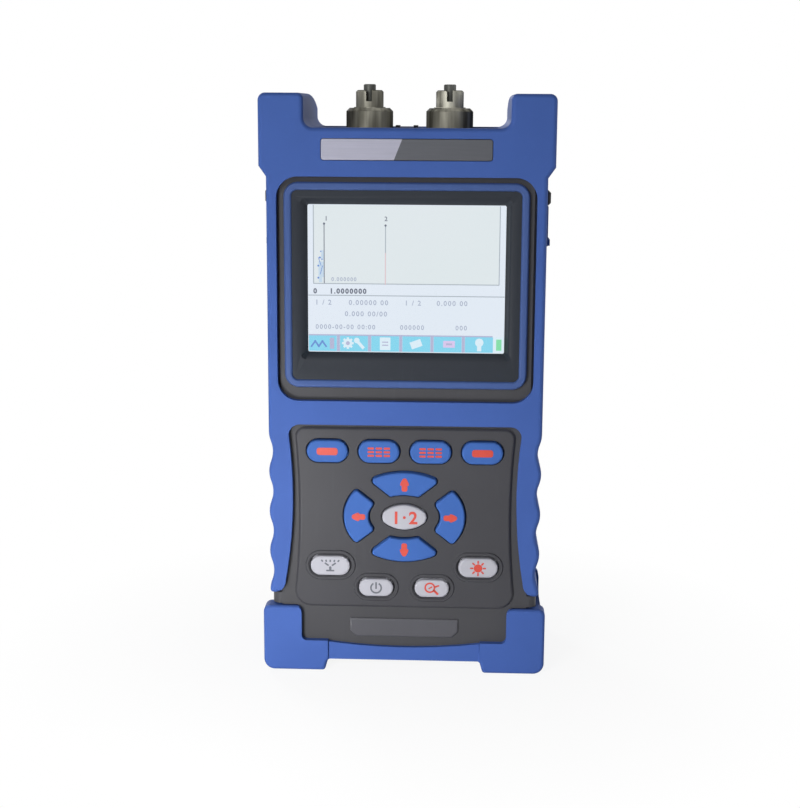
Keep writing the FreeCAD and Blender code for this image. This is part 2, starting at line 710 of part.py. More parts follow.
def lower_boot(envelope):
    """Rubber cup on the foot of the casing, with two feet and an arm at each corner."""
    corners = [
        (-HALF_BUMPER, 0, BOOT_CORNER),
        (-FOOT_INSIDE - FOOT_ROUND, 0, FOOT_ROUND),
        (-FOOT_INSIDE, FOOT_HEIGHT, FOOT_ROUND),
        (FOOT_INSIDE, FOOT_HEIGHT, FOOT_ROUND),
        (FOOT_INSIDE + FOOT_ROUND, 0, FOOT_ROUND),
        (HALF_BUMPER, 0, BOOT_CORNER),
        (HALF_BUMPER, BOOT_TOP, BOOT_TOP_CORNER),
        (-HALF_BUMPER, BOOT_TOP, BOOT_TOP_CORNER),
    ]
    body = along_y(outline(corners, on_front(FRONT)), DEPTH)
    body = body.makeFillet(BOOT_ROUND, rim(body, "Y", FRONT) + rim(body, "Y", BACK))
    for y in (FRONT, BACK):
        step = outline(
            [
                (-FOOT_INSIDE, y - BOOT_BAND_STEP, BOOT_BAND_STEP / 2),
                (FOOT_INSIDE, y - BOOT_BAND_STEP, BOOT_BAND_STEP / 2),
                (FOOT_INSIDE, y + BOOT_BAND_STEP, BOOT_BAND_STEP / 2),
                (-FOOT_INSIDE, y + BOOT_BAND_STEP, BOOT_BAND_STEP / 2),
            ],
            on_plan(0),
        )
        body = body.cut(step.extrude(V(0, 0, BOOT_LEDGE)))
    body = body.cut(boot_scoop()).cut(envelope)
    reach = RUBBER_FACE + CASE_EDGE + 1
    body = body.cut(along_y(boot_window(FRONT - 1), reach))
    return body.cut(along_y(boot_window(BACK + 1 - reach), reach))


# ---- casings -----------------------------------------------------------------------------------
def bare_band():
    """Band of the casing that shows between the jacket and the boot, as wide as they are."""
    low = BOOT_TOP + BAND_GAP
    high = JACKET_BOTTOM - BAND_GAP
    corners = [
        (-BAND_HALF, CASE_FRONT, BAND_CORNER),
        (BAND_HALF, CASE_FRONT, BAND_CORNER),
        (BAND_HALF, CASE_BACK, BAND_CORNER),
        (-BAND_HALF, CASE_BACK, BAND_CORNER),
    ]
    return outline(corners, on_plan(low)).extrude(V(0, 0, high - low))


def casing_shell(envelope):
    """Both casings in one: a closed wall with the bare band."""
    return fused([envelope, bare_band()]).cut(casing_envelope(WALL))


def screw_places():
    """The four screws that close the casing, as (x, z)."""
    return [(x, z) for x in (-SCREW_X, SCREW_X) for z in (SCREW_LOW, SCREW_HIGH)]


def socket_cuts():
    """Holes in the casing's sides and deck for the sockets and the optical ports."""
    cuts = []
    half_y = SIDE_SOCKET[0] / 2 + SOCKET_WALL + TOUCH
    half_z = SIDE_SOCKET[1] / 2 + SOCKET_WALL + TOUCH
    for x0, x1 in ((INNER_HALF - 1, CASE_HALF + 1), (-CASE_HALF - 1, -INNER_HALF + 1)):
        cuts.append(block(x0, x1, COVER_Y - half_y, COVER_Y + half_y, SOCKET_Z - half_z, SOCKET_Z + half_z))
    for x in (-PORT_X, PORT_X):
        cuts.append(rod(COLLAR_RADIUS + TOUCH, V(x, PORT_Y, INNER_TOP - 1), V(x, PORT_Y, DECK + 1)))
    half_x = DECK_SOCKET[0] / 2 + SOCKET_WALL + TOUCH
    half_y = DECK_SOCKET[1] / 2 + SOCKET_WALL + TOUCH
    cuts.append(block(-half_x, half_x, -half_y, half_y, INNER_TOP - 1, DECK + 1))
    return cuts


def front_casing(shell):
    """Front half of the casing, with screw bosses and the main board's standoffs."""
    part = shell.common(block(-HALF_BUMPER, HALF_BUMPER, FRONT, 0, 0, HORN_TOP))
    for x, z in screw_places():
        boss = rod(BOSS_RADIUS, V(x, INNER_FRONT - 1, z), V(x, 0, z))
        part = part.fuse(boss)
        depth = SCREW_LENGTH - CASE_BACK + SCREW_HEAD[1]
        part = part.cut(rod(SCREW_SHANK, V(x, -depth - 1, z), V(x, 0, z)))
    for x in (-STANDOFF_X, STANDOFF_X):
        for z in (BOARD_BOTTOM + STANDOFF_INSET, BOARD_TOP - STANDOFF_INSET):
            part = part.fuse(rod(STANDOFF_RADIUS, V(x, INNER_FRONT - 1, z), V(x, BOARD_Y, z)))
    bezel_half = TRIM_HALF - TRIM_BAND + TOUCH
    screen = rectangle(bezel_half, TRIM_BOTTOM + TRIM_BAND - TOUCH, TRIM_TOP - TRIM_BAND + TOUCH,
                       TRIM_CORNER - TRIM_BAND, on_front(CASE_FRONT - 1))
    part = part.cut(along_y(screen, WALL + 2))
    part = part.cut(along_y(fascia_plug(TOUCH, CASE_FRONT - 1), WALL + 2))
    for cut in socket_cuts():
        part = part.cut(cut)
    return part.removeSplitter()


def door_plug(grow, y):
    """Front view of the hole for the battery door, widened all round by grow."""
    half = DOOR_HALF - DOOR_LAP + grow
    low = DOOR_BOTTOM + DOOR_LAP - grow
    high = DOOR_TOP - DOOR_LAP - DOOR_HEAD + grow
    return rectangle(half, low, high, DOOR_CORNER - DOOR_LAP + grow, on_front(y))


def rear_casing(shell):
    """Rear half of the casing, with the battery bay, the stand's ears and the screw bosses."""
    part = shell.common(block(-HALF_BUMPER, HALF_BUMPER, 0, BACK, 0, HORN_TOP))
    bay_front = CASE_BACK - BAY_DEPTH
    bay = along_y(door_plug(DOOR_GAP + BAY_WALL, bay_front - BAY_WALL), BAY_DEPTH + BAY_WALL - 1)
    part = part.fuse(bay)
    part = part.cut(along_y(door_plug(DOOR_GAP, bay_front), BAY_DEPTH + 1))
    for x, z in screw_places():
        part = part.fuse(rod(BOSS_RADIUS, V(x, 0, z), V(x, INNER_BACK + 1, z)))
        part = part.cut(rod(SCREW_SHANK + SCREW_GAP, V(x, -1, z), V(x, CASE_BACK + 1, z)))
        head = SCREW_HEAD[0] + SCREW_GAP
        part = part.cut(rod(head, V(x, CASE_BACK - SCREW_HEAD[1], z), V(x, CASE_BACK + 1, z)))
    insert_z = door_screw_z()
    part = part.fuse(rod(BOSS_RADIUS, V(0, INNER_BACK - INSERT_LENGTH, insert_z),
                         V(0, INNER_BACK + 1, insert_z)))
    part = part.cut(rod(SCREW_SHANK + SCREW_GAP, V(0, INNER_BACK - INSERT_LENGTH - 1, insert_z),
                        V(0, CASE_BACK + 1, insert_z)))
    for side in (-1, 1):
        part = part.fuse(stand_ear(side))
    for side in (-1, 1):
        part = part.cut(stand_pin(side))
    scoop_z = STAND_TOP - STAND_LENGTH
    scoop_y = CASE_BACK + SCOOP_RADIUS - SCOOP_DEPTH
    scoop = rod(SCOOP_RADIUS, V(-SCOOP_HALF, scoop_y, scoop_z), V(SCOOP_HALF, scoop_y, scoop_z))
    part = part.cut(scoop)
    for cut in socket_cuts():
        part = part.cut(cut)
    return part.removeSplitter()


# ---- screen ------------------------------------------------------------------------------------
def screen_trim():
    """Raised ring round the screen bezel."""
    outer = rectangle(TRIM_HALF, TRIM_BOTTOM, TRIM_TOP, TRIM_CORNER, on_front(CASE_FRONT - TRIM_RISE))
    ring = along_y(outer, TRIM_RISE)
    inner = rectangle(TRIM_HALF - TRIM_BAND, TRIM_BOTTOM + TRIM_BAND, TRIM_TOP - TRIM_BAND,
                      TRIM_CORNER - TRIM_BAND, on_front(CASE_FRONT - TRIM_RISE - 1))
    ring = ring.cut(along_y(inner, TRIM_RISE + 2))
    return ring.makeChamfer(TRIM_EDGE, rim(ring, "Y", CASE_FRONT - TRIM_RISE))


def screen_bezel():
    """Dark frame whose sides slope down to the lit area."""
    front = CASE_FRONT - BEZEL_RISE
    half = TRIM_HALF - TRIM_BAND
    outer = rectangle(half, TRIM_BOTTOM + TRIM_BAND, TRIM_TOP - TRIM_BAND, TRIM_CORNER - TRIM_BAND,
                      on_front(front))
    frame = along_y(outer, BEZEL_DEPTH)
    wires = []
    for y, grow in ((front - 0.001, BEZEL_SLOPE), (front + BEZEL_DEPTH + 0.001, 0.0)):
        half_lit = LCD_WIDTH / 2 + grow
        half_high = LCD_HEIGHT / 2 + grow
        lit = rectangle(half_lit, SCREEN_Z - half_high, SCREEN_Z + half_high, LCD_CORNER + grow / 2, on_front(y))
        wires.append(lit.OuterWire)
    return frame.cut(Part.makeLoft(wires, True, True))


def bezel_back():
    """Y of the bezel's back face, where the window lies against it."""
    return CASE_FRONT - BEZEL_RISE + BEZEL_DEPTH


def display_window():
    """Clear window over the lit area."""
    half_high = LCD_HEIGHT / 2 + WINDOW_LAP
    face = rectangle(LCD_WIDTH / 2 + WINDOW_LAP, SCREEN_Z - half_high, SCREEN_Z + half_high, PANEL_CORNER,
                     on_front(bezel_back()))
    return along_y(face, WINDOW_THICK)


def display_panel():
    """Display module in its metal frame."""
    y = bezel_back() + WINDOW_THICK
    half_high = LCD_HEIGHT / 2 + LCD_LAP
    face = rectangle(LCD_WIDTH / 2 + LCD_LAP, SCREEN_Z - half_high, SCREEN_Z + half_high, PANEL_CORNER, on_front(y))
    return along_y(face, LCD_THICK)


# ---- keypad ------------------------------------------------------------------------------------
def fascia_outline(inset, y):
    """Front view of the fascia: its sides draw in at the arrow keys, like the jacket's opening."""
    half = FASCIA_TOP_HALF - inset
    low_half = half + FASCIA_FLARE
    top = FASCIA_TOP - inset
    bottom = FASCIA_BOTTOM + inset
    corner = FASCIA_CORNER - inset
    turn = FASCIA_LOW_CORNER - inset
    edges = [line((0, top), (half - corner, top))]
    edges.append(corner_arc((half - corner, top), (half, top - corner), (half - corner, top - corner), corner))
    edges.append(arc((half, top - corner), (half - PAD_WAIST, ARROW_Z), (low_half, bottom + turn)))
    edges.append(corner_arc((low_half, bottom + turn), (low_half - turn, bottom), (low_half - turn, bottom + turn),
                            turn))
    edges.append(line((low_half - turn, bottom), (0, bottom)))
    return moved_to(mirrored_face(edges), y - FRONT)


def fascia_plug(grow, y):
    """Front view of the part of the fascia that drops into the casing."""
    return fascia_outline(FASCIA_LIP - grow, y)


def nearest_circle(across, tip, at):
    """Radius of the circle that follows an ellipse over its tip, out to a distance at each side."""
    drop = tip - tip * math.sqrt(1 - (at / across)**2)
    return (at**2 + drop**2) / (2 * drop)


def disc(radius, x, z):
    """Round front-view face at y = 0."""
    circle = Part.Circle(V(x, 0, z), V(0, 1, 0), radius)
    return Part.Face(Part.Wire(circle.toShape()))


def arrow_face(turn):
    """Front-view face at y = 0 of one arrow key: turn 0 is up, then clockwise in quarters."""
    slope = math.radians(ARROW_ANGLE)
    reach = ARROW_OUTER[0] * 2
    sign = 1 if turn < 2 else -1
    if turn % 2 == 0:
        outer = nearest_circle(ARROW_OUTER[0], ARROW_OUTER[1], ARROW_INNER[0])
        inner = nearest_circle(ARROW_INNER[0], ARROW_INNER[1], ARROW_INNER[0] / 2)
        big = disc(outer, 0, ARROW_Z + sign * (ARROW_OUTER[1] - outer))
        small = disc(inner, 0, ARROW_Z + sign * (ARROW_INNER[1] - inner))
        apex = (0, ARROW_GAP / math.cos(slope))
        far = (reach * math.cos(slope), apex[1] + reach * math.sin(slope))
        wedge = [apex, far, (far[0], reach * 2), (-far[0], reach * 2), (-far[0], far[1])]
    else:
        outer = nearest_circle(ARROW_OUTER[1], ARROW_OUTER[0], ARROW_INNER[1])
        inner = nearest_circle(ARROW_INNER[1], ARROW_INNER[0], ARROW_INNER[1] * 0.6)
        big = disc(outer, sign * (ARROW_OUTER[0] - outer), ARROW_Z)
        small = disc(inner, sign * (ARROW_INNER[0] - inner), ARROW_Z)
        apex = (ARROW_GAP / math.sin(slope), 0)
        far = (apex[0] + reach * math.cos(slope), reach * math.sin(slope))
        wedge = [apex, (far[0], -far[1]), far]
    points = [V(sign * a, 0, ARROW_Z + sign * b) for a, b in wedge]
    cutter = Part.Face(Part.makePolygon(points + points[:1]))
    sector = along_y(big.cut(small).common(cutter).Faces[0], 1.0)
    upright = [edge for edge in sector.Edges if edge.BoundBox.YLength > 0.5]
    sector = sector.makeFillet(ARROW_CORNER, upright)
    return [found for found in sector.Faces if found.BoundBox.YMax < 1e-4][0]


def key_faces():
    """Name and front-view face at y = 0 of every key."""
    keys = {}
    for i in range(4):
        keys["soft_key_%d" % (i + 1)] = pill(SOFT_KEY, ((i - 1.5) * SOFT_KEY_PITCH, SOFT_KEY_Z))
    for turn, name in enumerate(("up_key", "right_key", "down_key", "left_key")):
        keys[name] = arrow_face(turn)
    keys["enter_key"] = oval(OK_KEY, OK_KEY_END, (0, ARROW_Z))
    x, z = OUTER_KEY_PLACE
    keys["lamp_key"] = pill(OUTER_KEY, (-x, z))
    keys["brightness_key"] = pill(OUTER_KEY, (x, z))
    x, z = INNER_KEY_PLACE
    keys["power_key"] = pill(INNER_KEY, (-x, z))
    keys["laser_key"] = pill(INNER_KEY, (x, z))
    return keys


def grown(face, distance):
    """A key's face widened all round."""
    return Part.Face(face.makeOffset2D(distance).OuterWire) if distance else face


def moved_to(face, y):
    """A copy of a front-view face drawn at y = 0, moved to another y."""
    copy = face.copy()
    copy.translate(V(0, y, 0))
    return copy


def fascia_front():
    """Y of the fascia's front face."""
    return CASE_FRONT - FASCIA_RISE


def plug_back():
    """Y of the back of the fascia's plug."""
    return CASE_FRONT + FASCIA_BACK


def flange_back():
    """Y of the back of a key's flange, at rest."""
    return plug_back() + KEY_FLANGE_GAP + KEY_FLANGE_THICK


def dome_front():
    """Y of the dome sheet's front face, just clear of a pressed plunger."""
    return flange_back() + PLUNGER_LENGTH + KEY_TRAVEL + PLUNGER_GAP


def keypad_fascia(keys):
    """Keypad face with a rolled edge, a hole for each key and raised rims at the lower keys."""
    roll = FASCIA_RISE * 0.7
    face = fascia_outline(0.0, fascia_front() + roll)
    edge = Part.makeLoft([fascia_outline(roll, fascia_front()).OuterWire, face.OuterWire], True, True)
    plate = along_y(face, FASCIA_RISE - roll)
    solids = [plate, edge, along_y(fascia_plug(0, CASE_FRONT), FASCIA_BACK)]
    for name in ("lamp_key", "brightness_key", "power_key", "laser_key"):
        outer = grown(keys[name], WELL_RIM_GAP + WELL_RIM)
        ring = along_y(moved_to(outer, fascia_front() - WELL_RIM_RISE), WELL_RIM_RISE + 0.5)
        solids.append(ring.makeChamfer(WELL_RIM_RISE * 0.8, rim(ring, "Y", fascia_front() - WELL_RIM_RISE)))
    whole = fused(solids)
    for name in ("lamp_key", "brightness_key", "power_key", "laser_key"):
        inner = grown(keys[name], WELL_RIM_GAP)
        whole = whole.cut(along_y(moved_to(inner, fascia_front() - 1), 1))
    for face in keys.values():
        hole = grown(face, KEY_GAP)
        whole = whole.cut(along_y(moved_to(hole, fascia_front() - 1), FASCIA_RISE + FASCIA_BACK + 2))
    post_z = (SOFT_KEY_Z + OUTER_KEY_PLACE[1]) / 2 + POST_RISE
    for x in (-POST_X, POST_X):
        for z in (post_z - POST_SPREAD, post_z + POST_SPREAD):
            whole = whole.fuse(rod(POST_RADIUS, V(x, plug_back() - 0.5, z), V(x, dome_front(), z)))
    return whole


def key_cap(face):
    """One key: a crowned cap, a flange that holds it behind the fascia, and a plunger."""
    top = fascia_front() - KEY_RISE
    flange_front = plug_back() + KEY_FLANGE_GAP
    cap = along_y(moved_to(face, top), flange_front - top)
    cap = cap.makeChamfer(KEY_EDGE, rim(cap, "Y", top))
    flange = along_y(moved_to(grown(face, KEY_FLANGE), flange_front), KEY_FLANGE_THICK)
    middle = face.CenterOfMass
    plunger = rod(PLUNGER_RADIUS, V(middle.x, flange_back() - 0.1, middle.z),
                  V(middle.x, flange_back() + PLUNGER_LENGTH, middle.z))
    return fused([cap, flange, plunger])


def keypad_sheet(thick, y):
    """Dome sheet or circuit board behind the keys, notched round the lower screw bosses."""
    sheet = along_y(fascia_plug(-0.5, y), thick)
    z = SCREW_LOW
    for x in (-SCREW_X, SCREW_X):
        sheet = sheet.cut(rod(BOSS_RADIUS + TOUCH, V(x, y - 1, z), V(x, y + thick + 1, z)))
    return sheet


# ---- ports -------------------------------------------------------------------------------------
def port_barrel(x):
    """Fixed barrel of an optical port, from its flange under the deck to its open mouth."""
    base = V(x, PORT_Y, INNER_TOP - BRACKET[2] - BARREL_FLANGE[1])
    solids = [
        rod(BARREL_RADIUS, base, V(x, PORT_Y, BARREL_TOP)),
        rod(COLLAR_RADIUS, base, V(x, PORT_Y, RING_TOP + COLLAR_RISE)),
        rod(BARREL_FLANGE[0], base, base + V(0, 0, BARREL_FLANGE[1])),
        rod(BARREL_TAIL[0], base - V(0, 0, BARREL_TAIL[1]), base),
    ]
    barrel = fused(solids)
    barrel = barrel.makeChamfer(BARREL_EDGE, rim(barrel, "Z", BARREL_TOP))
    well = rod(BARREL_INSIDE, V(x, PORT_Y, BARREL_TOP - BARREL_WELL), V(x, PORT_Y, BARREL_TOP + 1))
    seat = rod(SLEEVE_RADIUS, V(x, PORT_Y, BARREL_TOP - BARREL_WELL - SLEEVE_FOOT),
               V(x, PORT_Y, BARREL_TOP))
    slot = block(x - KEY_SLOT[0] / 2, x + KEY_SLOT[0] / 2, PORT_Y - BARREL_RADIUS - 1,
                 PORT_Y - BARREL_INSIDE + 1, BARREL_TOP - KEY_SLOT[1], BARREL_TOP + 1)
    return barrel.cut(well).cut(seat).cut(slot)


def port_sleeve(x):
    """Ferrule sleeve that stands in the middle of a barrel, bored for a ferrule."""
    sleeve = rod(SLEEVE_RADIUS, V(x, PORT_Y, BARREL_TOP - BARREL_WELL - SLEEVE_FOOT),
                 V(x, PORT_Y, SLEEVE_TOP))
    sleeve = sleeve.makeChamfer(BARREL_EDGE / 2, rim(sleeve, "Z", SLEEVE_TOP))
    return sleeve.cut(rod(SLEEVE_BORE, V(x, PORT_Y, SLEEVE_TOP - SLEEVE_BORE_LENGTH),
                          V(x, PORT_Y, SLEEVE_TOP + 1)))


def port_ring(x):
    """Turning lock ring of a port."""
    low = DECK + RING_GAP
    ring = rod(RING_RADIUS, V(x, PORT_Y, low), V(x, PORT_Y, RING_TOP))
    ring = ring.makeChamfer(RING_CHAMFER, rim(ring, "Z", RING_TOP))
    ring = ring.makeChamfer(RING_CHAMFER / 3, rim(ring, "Z", low))
    return ring.cut(rod(COLLAR_RADIUS + RUNNING_FIT, V(x, PORT_Y, low - 1), V(x, PORT_Y, RING_TOP + 1)))


def port_bracket():
    """Steel plate under the deck that carries both ports."""
    half = BRACKET[0] / 2
    depth = BRACKET[1] / 2
    plate = block(-half, half, -depth, depth, INNER_TOP - BRACKET[2], INNER_TOP)
    for x in (-PORT_X, PORT_X):
        plate = plate.cut(rod(COLLAR_RADIUS + TOUCH, V(x, PORT_Y, INNER_TOP - 5), V(x, PORT_Y, DECK)))
    half_x = DECK_SOCKET[0] / 2 + SOCKET_WALL + TOUCH
    half_y = DECK_SOCKET[1] / 2 + SOCKET_WALL + TOUCH
    return plate.cut(block(-half_x, half_x, -half_y, half_y, INNER_TOP - 5, DECK))


def side_socket(side):
    """Rectangular socket in one side of the casing; side is -1 or 1."""
    half_y = SIDE_SOCKET[0] / 2
    half_z = SIDE_SOCKET[1] / 2
    wall = SOCKET_WALL
    shell = block(CASE_HALF - SOCKET_DEPTH, CASE_HALF, -half_y - wall, half_y + wall,
                  SOCKET_Z - half_z - wall, SOCKET_Z + half_z + wall)
    shell = shell.cut(block(CASE_HALF - SOCKET_DEPTH + wall, CASE_HALF + 1, -half_y, half_y,
                            SOCKET_Z - half_z, SOCKET_Z + half_z))
    tongue = block(CASE_HALF - SOCKET_DEPTH, CASE_HALF - TONGUE_SET, -half_y - wall,
                   -half_y + TONGUE_THICK, SOCKET_Z - half_z, SOCKET_Z + half_z)
    socket = shell.fuse(tongue).removeSplitter()
    socket.translate(V(0, COVER_Y, 0))
    return socket if side > 0 else socket.mirror(V(0, 0, 0), V(1, 0, 0))


def deck_socket():
    """Small data socket in the middle of the deck."""
    half_x = DECK_SOCKET[0] / 2
    half_y = DECK_SOCKET[1] / 2
    wall = SOCKET_WALL
    shell = block(-half_x - wall, half_x + wall, -half_y - wall, half_y + wall,
                  DECK - DECK_SOCKET_DEPTH, DECK)
    return shell.cut(block(-half_x, half_x, -half_y, half_y, DECK - DECK_SOCKET_DEPTH + wall, DECK + 1))


def cover_outside():
    """X of the outer face of the right port cover, where its hinge line lies."""
    return HALF_GRIP + COVER_RISE


def side_cover(side):
    """Rubber cover of a side socket: a flap that hangs from its top edge, with a pull tab."""
    outer = cover_outside()
    inner = outer - COVER_THICK
    half = COVER_DEPTH / 2
    face = rectangle(half, COVER_BOTTOM, COVER_TOP, COVER_CORNER, on_side(inner))
    flap = face.extrude(V(COVER_THICK, 0, 0))
    tab_height, tab_rise = COVER_TAB
    tab = block(inner, outer + tab_rise, -half * 0.6, half * 0.6, COVER_BOTTOM, COVER_BOTTOM + tab_height)
    flap = fused([flap, tab])
    flap.translate(V(0, COVER_Y, 0))
    return flap if side > 0 else flap.mirror(V(0, 0, 0), V(1, 0, 0))


def cover_anchor(side):
    """Rubber block that holds the top edge of a side cover."""
    low = COVER_TOP + COVER_GAP
    high = COVER_TOP + ANCHOR_HEIGHT
    face = rectangle(COVER_DEPTH / 2, low, high, COVER_CORNER, on_side(CASE_HALF))
    anchor = face.extrude(V(RUBBER_SIDE + ANCHOR_RISE, 0, 0))
    anchor = anchor.makeChamfer(ANCHOR_RISE / 2, rim(anchor, "X", HALF_GRIP + ANCHOR_RISE))
    anchor.translate(V(0, COVER_Y, 0))
    return anchor if side > 0 else anchor.mirror(V(0, 0, 0), V(1, 0, 0))


def deck_cover():
    """Small rubber flap over the deck socket, with two pull ribs."""
    low = DECK + TOUCH
    half_x = DECK_COVER[0] / 2
    half_y = DECK_COVER[1] / 2
    face = rectangle(half_x, -half_y, half_y, COVER_CORNER, on_plan(low))
    solids = [face.extrude(V(0, 0, DECK_COVER_THICK))]
    width, length, rise = DECK_TAB
    for x in DECK_TABS:
        solids.append(block(x - width / 2, x + width / 2, -length / 2, length / 2, low,
                            low + DECK_COVER_THICK + rise))
    return fused(solids)


# ---- back --------------------------------------------------------------------------------------
def hinge_y():
    """Y of the stand's hinge line."""
    return CASE_BACK + STAND_LIFT + HINGE_RADIUS


def stand_pin(side):
    """Hinge pin of the stand, pressed into its ear."""
    outer = side * (STAND_HALF + EAR_GAP + EAR_WIDTH - 0.4)
    inner = outer - side * HINGE_PIN_LENGTH
    return rod(HINGE_PIN, V(inner, hinge_y(), STAND_TOP), V(outer, hinge_y(), STAND_TOP))


def stand_ear(side):
    """Ear on the casing's back that holds one hinge pin."""
    inner = side * (STAND_HALF + EAR_GAP)
    outer = inner + side * EAR_WIDTH
    corners = [
        (CASE_BACK - 1, STAND_TOP - EAR_HALF, 0),
        (CASE_BACK + 1, STAND_TOP - EAR_HALF, 0),
        (hinge_y() + HINGE_RADIUS, STAND_TOP - HINGE_RADIUS, HINGE_RADIUS * 0.8),
        (hinge_y() + HINGE_RADIUS, STAND_TOP + HINGE_RADIUS, HINGE_RADIUS * 0.8),
        (CASE_BACK + 1, STAND_TOP + EAR_HALF, 0),
        (CASE_BACK - 1, STAND_TOP + EAR_HALF, 0),
    ]
    return outline(corners, on_side(inner)).extrude(V(outer - inner, 0, 0))


def tilt_stand():
    """Folding stand: a frame with two legs, a foot bar and a hinge barrel."""
    inside = CASE_BACK + STAND_LIFT
    low = STAND_TOP - STAND_LENGTH
    top = STAND_TOP
    plate = along_y(outline(
        [
            (-STAND_HALF, low, STAND_CORNER),
            (STAND_HALF, low, STAND_CORNER),
            (STAND_HALF, top, 0),
            (-STAND_HALF, top, 0),
        ],
        on_front(inside),
    ), STAND_THICK)
    hole = rectangle(STAND_HALF - STAND_LEG, low + STAND_LEG, top - STAND_LEG, STAND_INSIDE_CORNER,
                     on_front(inside - 1))
    plate = plate.cut(along_y(hole, STAND_THICK + 2))
    plate = plate.makeChamfer(STAND_EDGE, rim(plate, "Y", inside + STAND_THICK))
    barrel = rod(HINGE_RADIUS, V(-STAND_HALF, hinge_y(), top), V(STAND_HALF, hinge_y(), top))
    stand = fused([plate, barrel])
    for side in (-1, 1):
        inner = side * (STAND_HALF + EAR_GAP + EAR_WIDTH - HINGE_PIN_LENGTH - 0.8)
        stand = stand.cut(rod(HINGE_PIN + RUNNING_FIT, V(inner, hinge_y(), top),
                              V(side * (STAND_HALF + 1), hinge_y(), top)))
    return stand


def door_screw_z():
    """Height of the battery door's screw."""
    return DOOR_TOP - DOOR_LAP - DOOR_HEAD / 2


def battery_door():
    """Lift-off door: an outer plate with grip ribs and a plug that fits the bay."""
    outer = rectangle(DOOR_HALF, DOOR_BOTTOM, DOOR_TOP, DOOR_CORNER, on_front(CASE_BACK))
    plate = along_y(outer, DOOR_THICK)
    plate = plate.makeChamfer(DOOR_EDGE, rim(plate, "Y", CASE_BACK + DOOR_THICK))
    solids = [plate, along_y(door_plug(0, CASE_BACK - WALL), WALL)]
    half, width, rise = DOOR_RIB
    outside = CASE_BACK + DOOR_THICK
    for i in range(DOOR_RIBS):
        z = DOOR_BOTTOM + (i + 2) * DOOR_RIB_PITCH
        solids.append(block(-half, half, outside - rise, outside + rise, z, z + width))
    door = fused(solids)
    z = door_screw_z()
    door = door.cut(rod(SCREW_SHANK + SCREW_GAP, V(0, CASE_BACK - 5, z), V(0, BACK, z)))
    return door.cut(rod(THUMB_RADIUS + SCREW_GAP, V(0, CASE_BACK + DOOR_THICK - THUMB_HEAD, z),
                        V(0, BACK + 1, z)))


def door_screw():
    """Captive screw of the battery door, with a coin slot."""
    z = door_screw_z()
    seat = CASE_BACK + DOOR_THICK - THUMB_HEAD
    outside = seat + THUMB_HEAD + THUMB_RISE
    head = rod(THUMB_RADIUS, V(0, seat, z), V(0, outside, z))
    head = head.makeChamfer(THUMB_RISE / 2, rim(head, "Y", outside))
    shank = rod(SCREW_SHANK, V(0, INNER_BACK - INSERT_LENGTH + 1, z), V(0, seat, z))
    slot = block(-THUMB_RADIUS - 1, THUMB_RADIUS + 1, seat + THUMB_HEAD - TOUCH, outside + 1,
                 z - THUMB_SLOT / 2, z + THUMB_SLOT / 2)
    return fused([head, shank]).cut(slot)


def battery_pack():
    """Battery pack in its bay."""
    y0 = CASE_BACK - BAY_DEPTH
    y1 = CASE_BACK - WALL - PACK_GAP
    face = door_plug(-PACK_GAP, y0)
    return along_y(face, y1 - y0)


def case_screws():
    """The four screws that close the casing, in one group."""
    solids = []
    for x, z in screw_places():
        back = CASE_BACK
        head = rod(SCREW_HEAD[0], V(x, back - SCREW_HEAD[1], z), V(x, back - TOUCH, z))
        shank = rod(SCREW_SHANK, V(x, back - SCREW_LENGTH, z), V(x, back - SCREW_HEAD[1], z))
        socket = outline(
            [(x + SCREW_SOCKET[0] * math.cos(math.radians(60 * i)),
              z + SCREW_SOCKET[0] * math.sin(math.radians(60 * i)), 0) for i in range(6)],
            on_front(back - SCREW_SOCKET[1]),
        )
        solids.append(fused([head, shank]).cut(along_y(socket, 2)))
    return Part.makeCompound(solids)


# ---- electronics -------------------------------------------------------------------------------
def main_board():
    """Main circuit board with its larger components, on the front casing's standoffs."""
    back = BOARD_Y + BOARD_THICK
    board = along_y(rectangle(BOARD_HALF, BOARD_BOTTOM, BOARD_TOP, PANEL_CORNER, on_front(BOARD_Y)), BOARD_THICK)
    solids = [board]
    z = BOARD_BOTTOM + CHIP_LINE
    for x, width, height in CHIPS:
        solids.append(block(x - width / 2, x + width / 2, back, back + CHIP_RISE, z - height / 2, z + height / 2))
    return fused(solids)


def optical_module():
    """Metal box of the laser and receiver, on the back of the main board."""
    width, depth, height = OPTICS
    y = BOARD_Y + BOARD_THICK
    top = BOARD_TOP - OPTICS_INSET
    box = block(-width / 2, width / 2, y, y + depth, top - height, top)
    return box.makeChamfer(OPTICS_EDGE, rim(box, "Y", y + depth))


def fibre_coil():
    """Launch fibre, coiled flat on the optical module."""
    y = BOARD_Y + BOARD_THICK + OPTICS[1]
    z = BOARD_TOP - OPTICS_INSET - OPTICS[2] / 2
    coil = rod(COIL_RADIUS, V(0, y, z), V(0, y + COIL_THICK, z))
    return coil.cut(rod(COIL_RADIUS - COIL_BAND, V(0, y - 1, z), V(0, y + COIL_THICK + 1, z)))


def buzzer():
    """Buzzer on the back of the main board."""
    y = BOARD_Y + BOARD_THICK
    z = BOARD_BOTTOM + CHIP_LINE
    return rod(BUZZER[0], V(BUZZER_X, y, z), V(BUZZER_X, y + BUZZER[1], z))


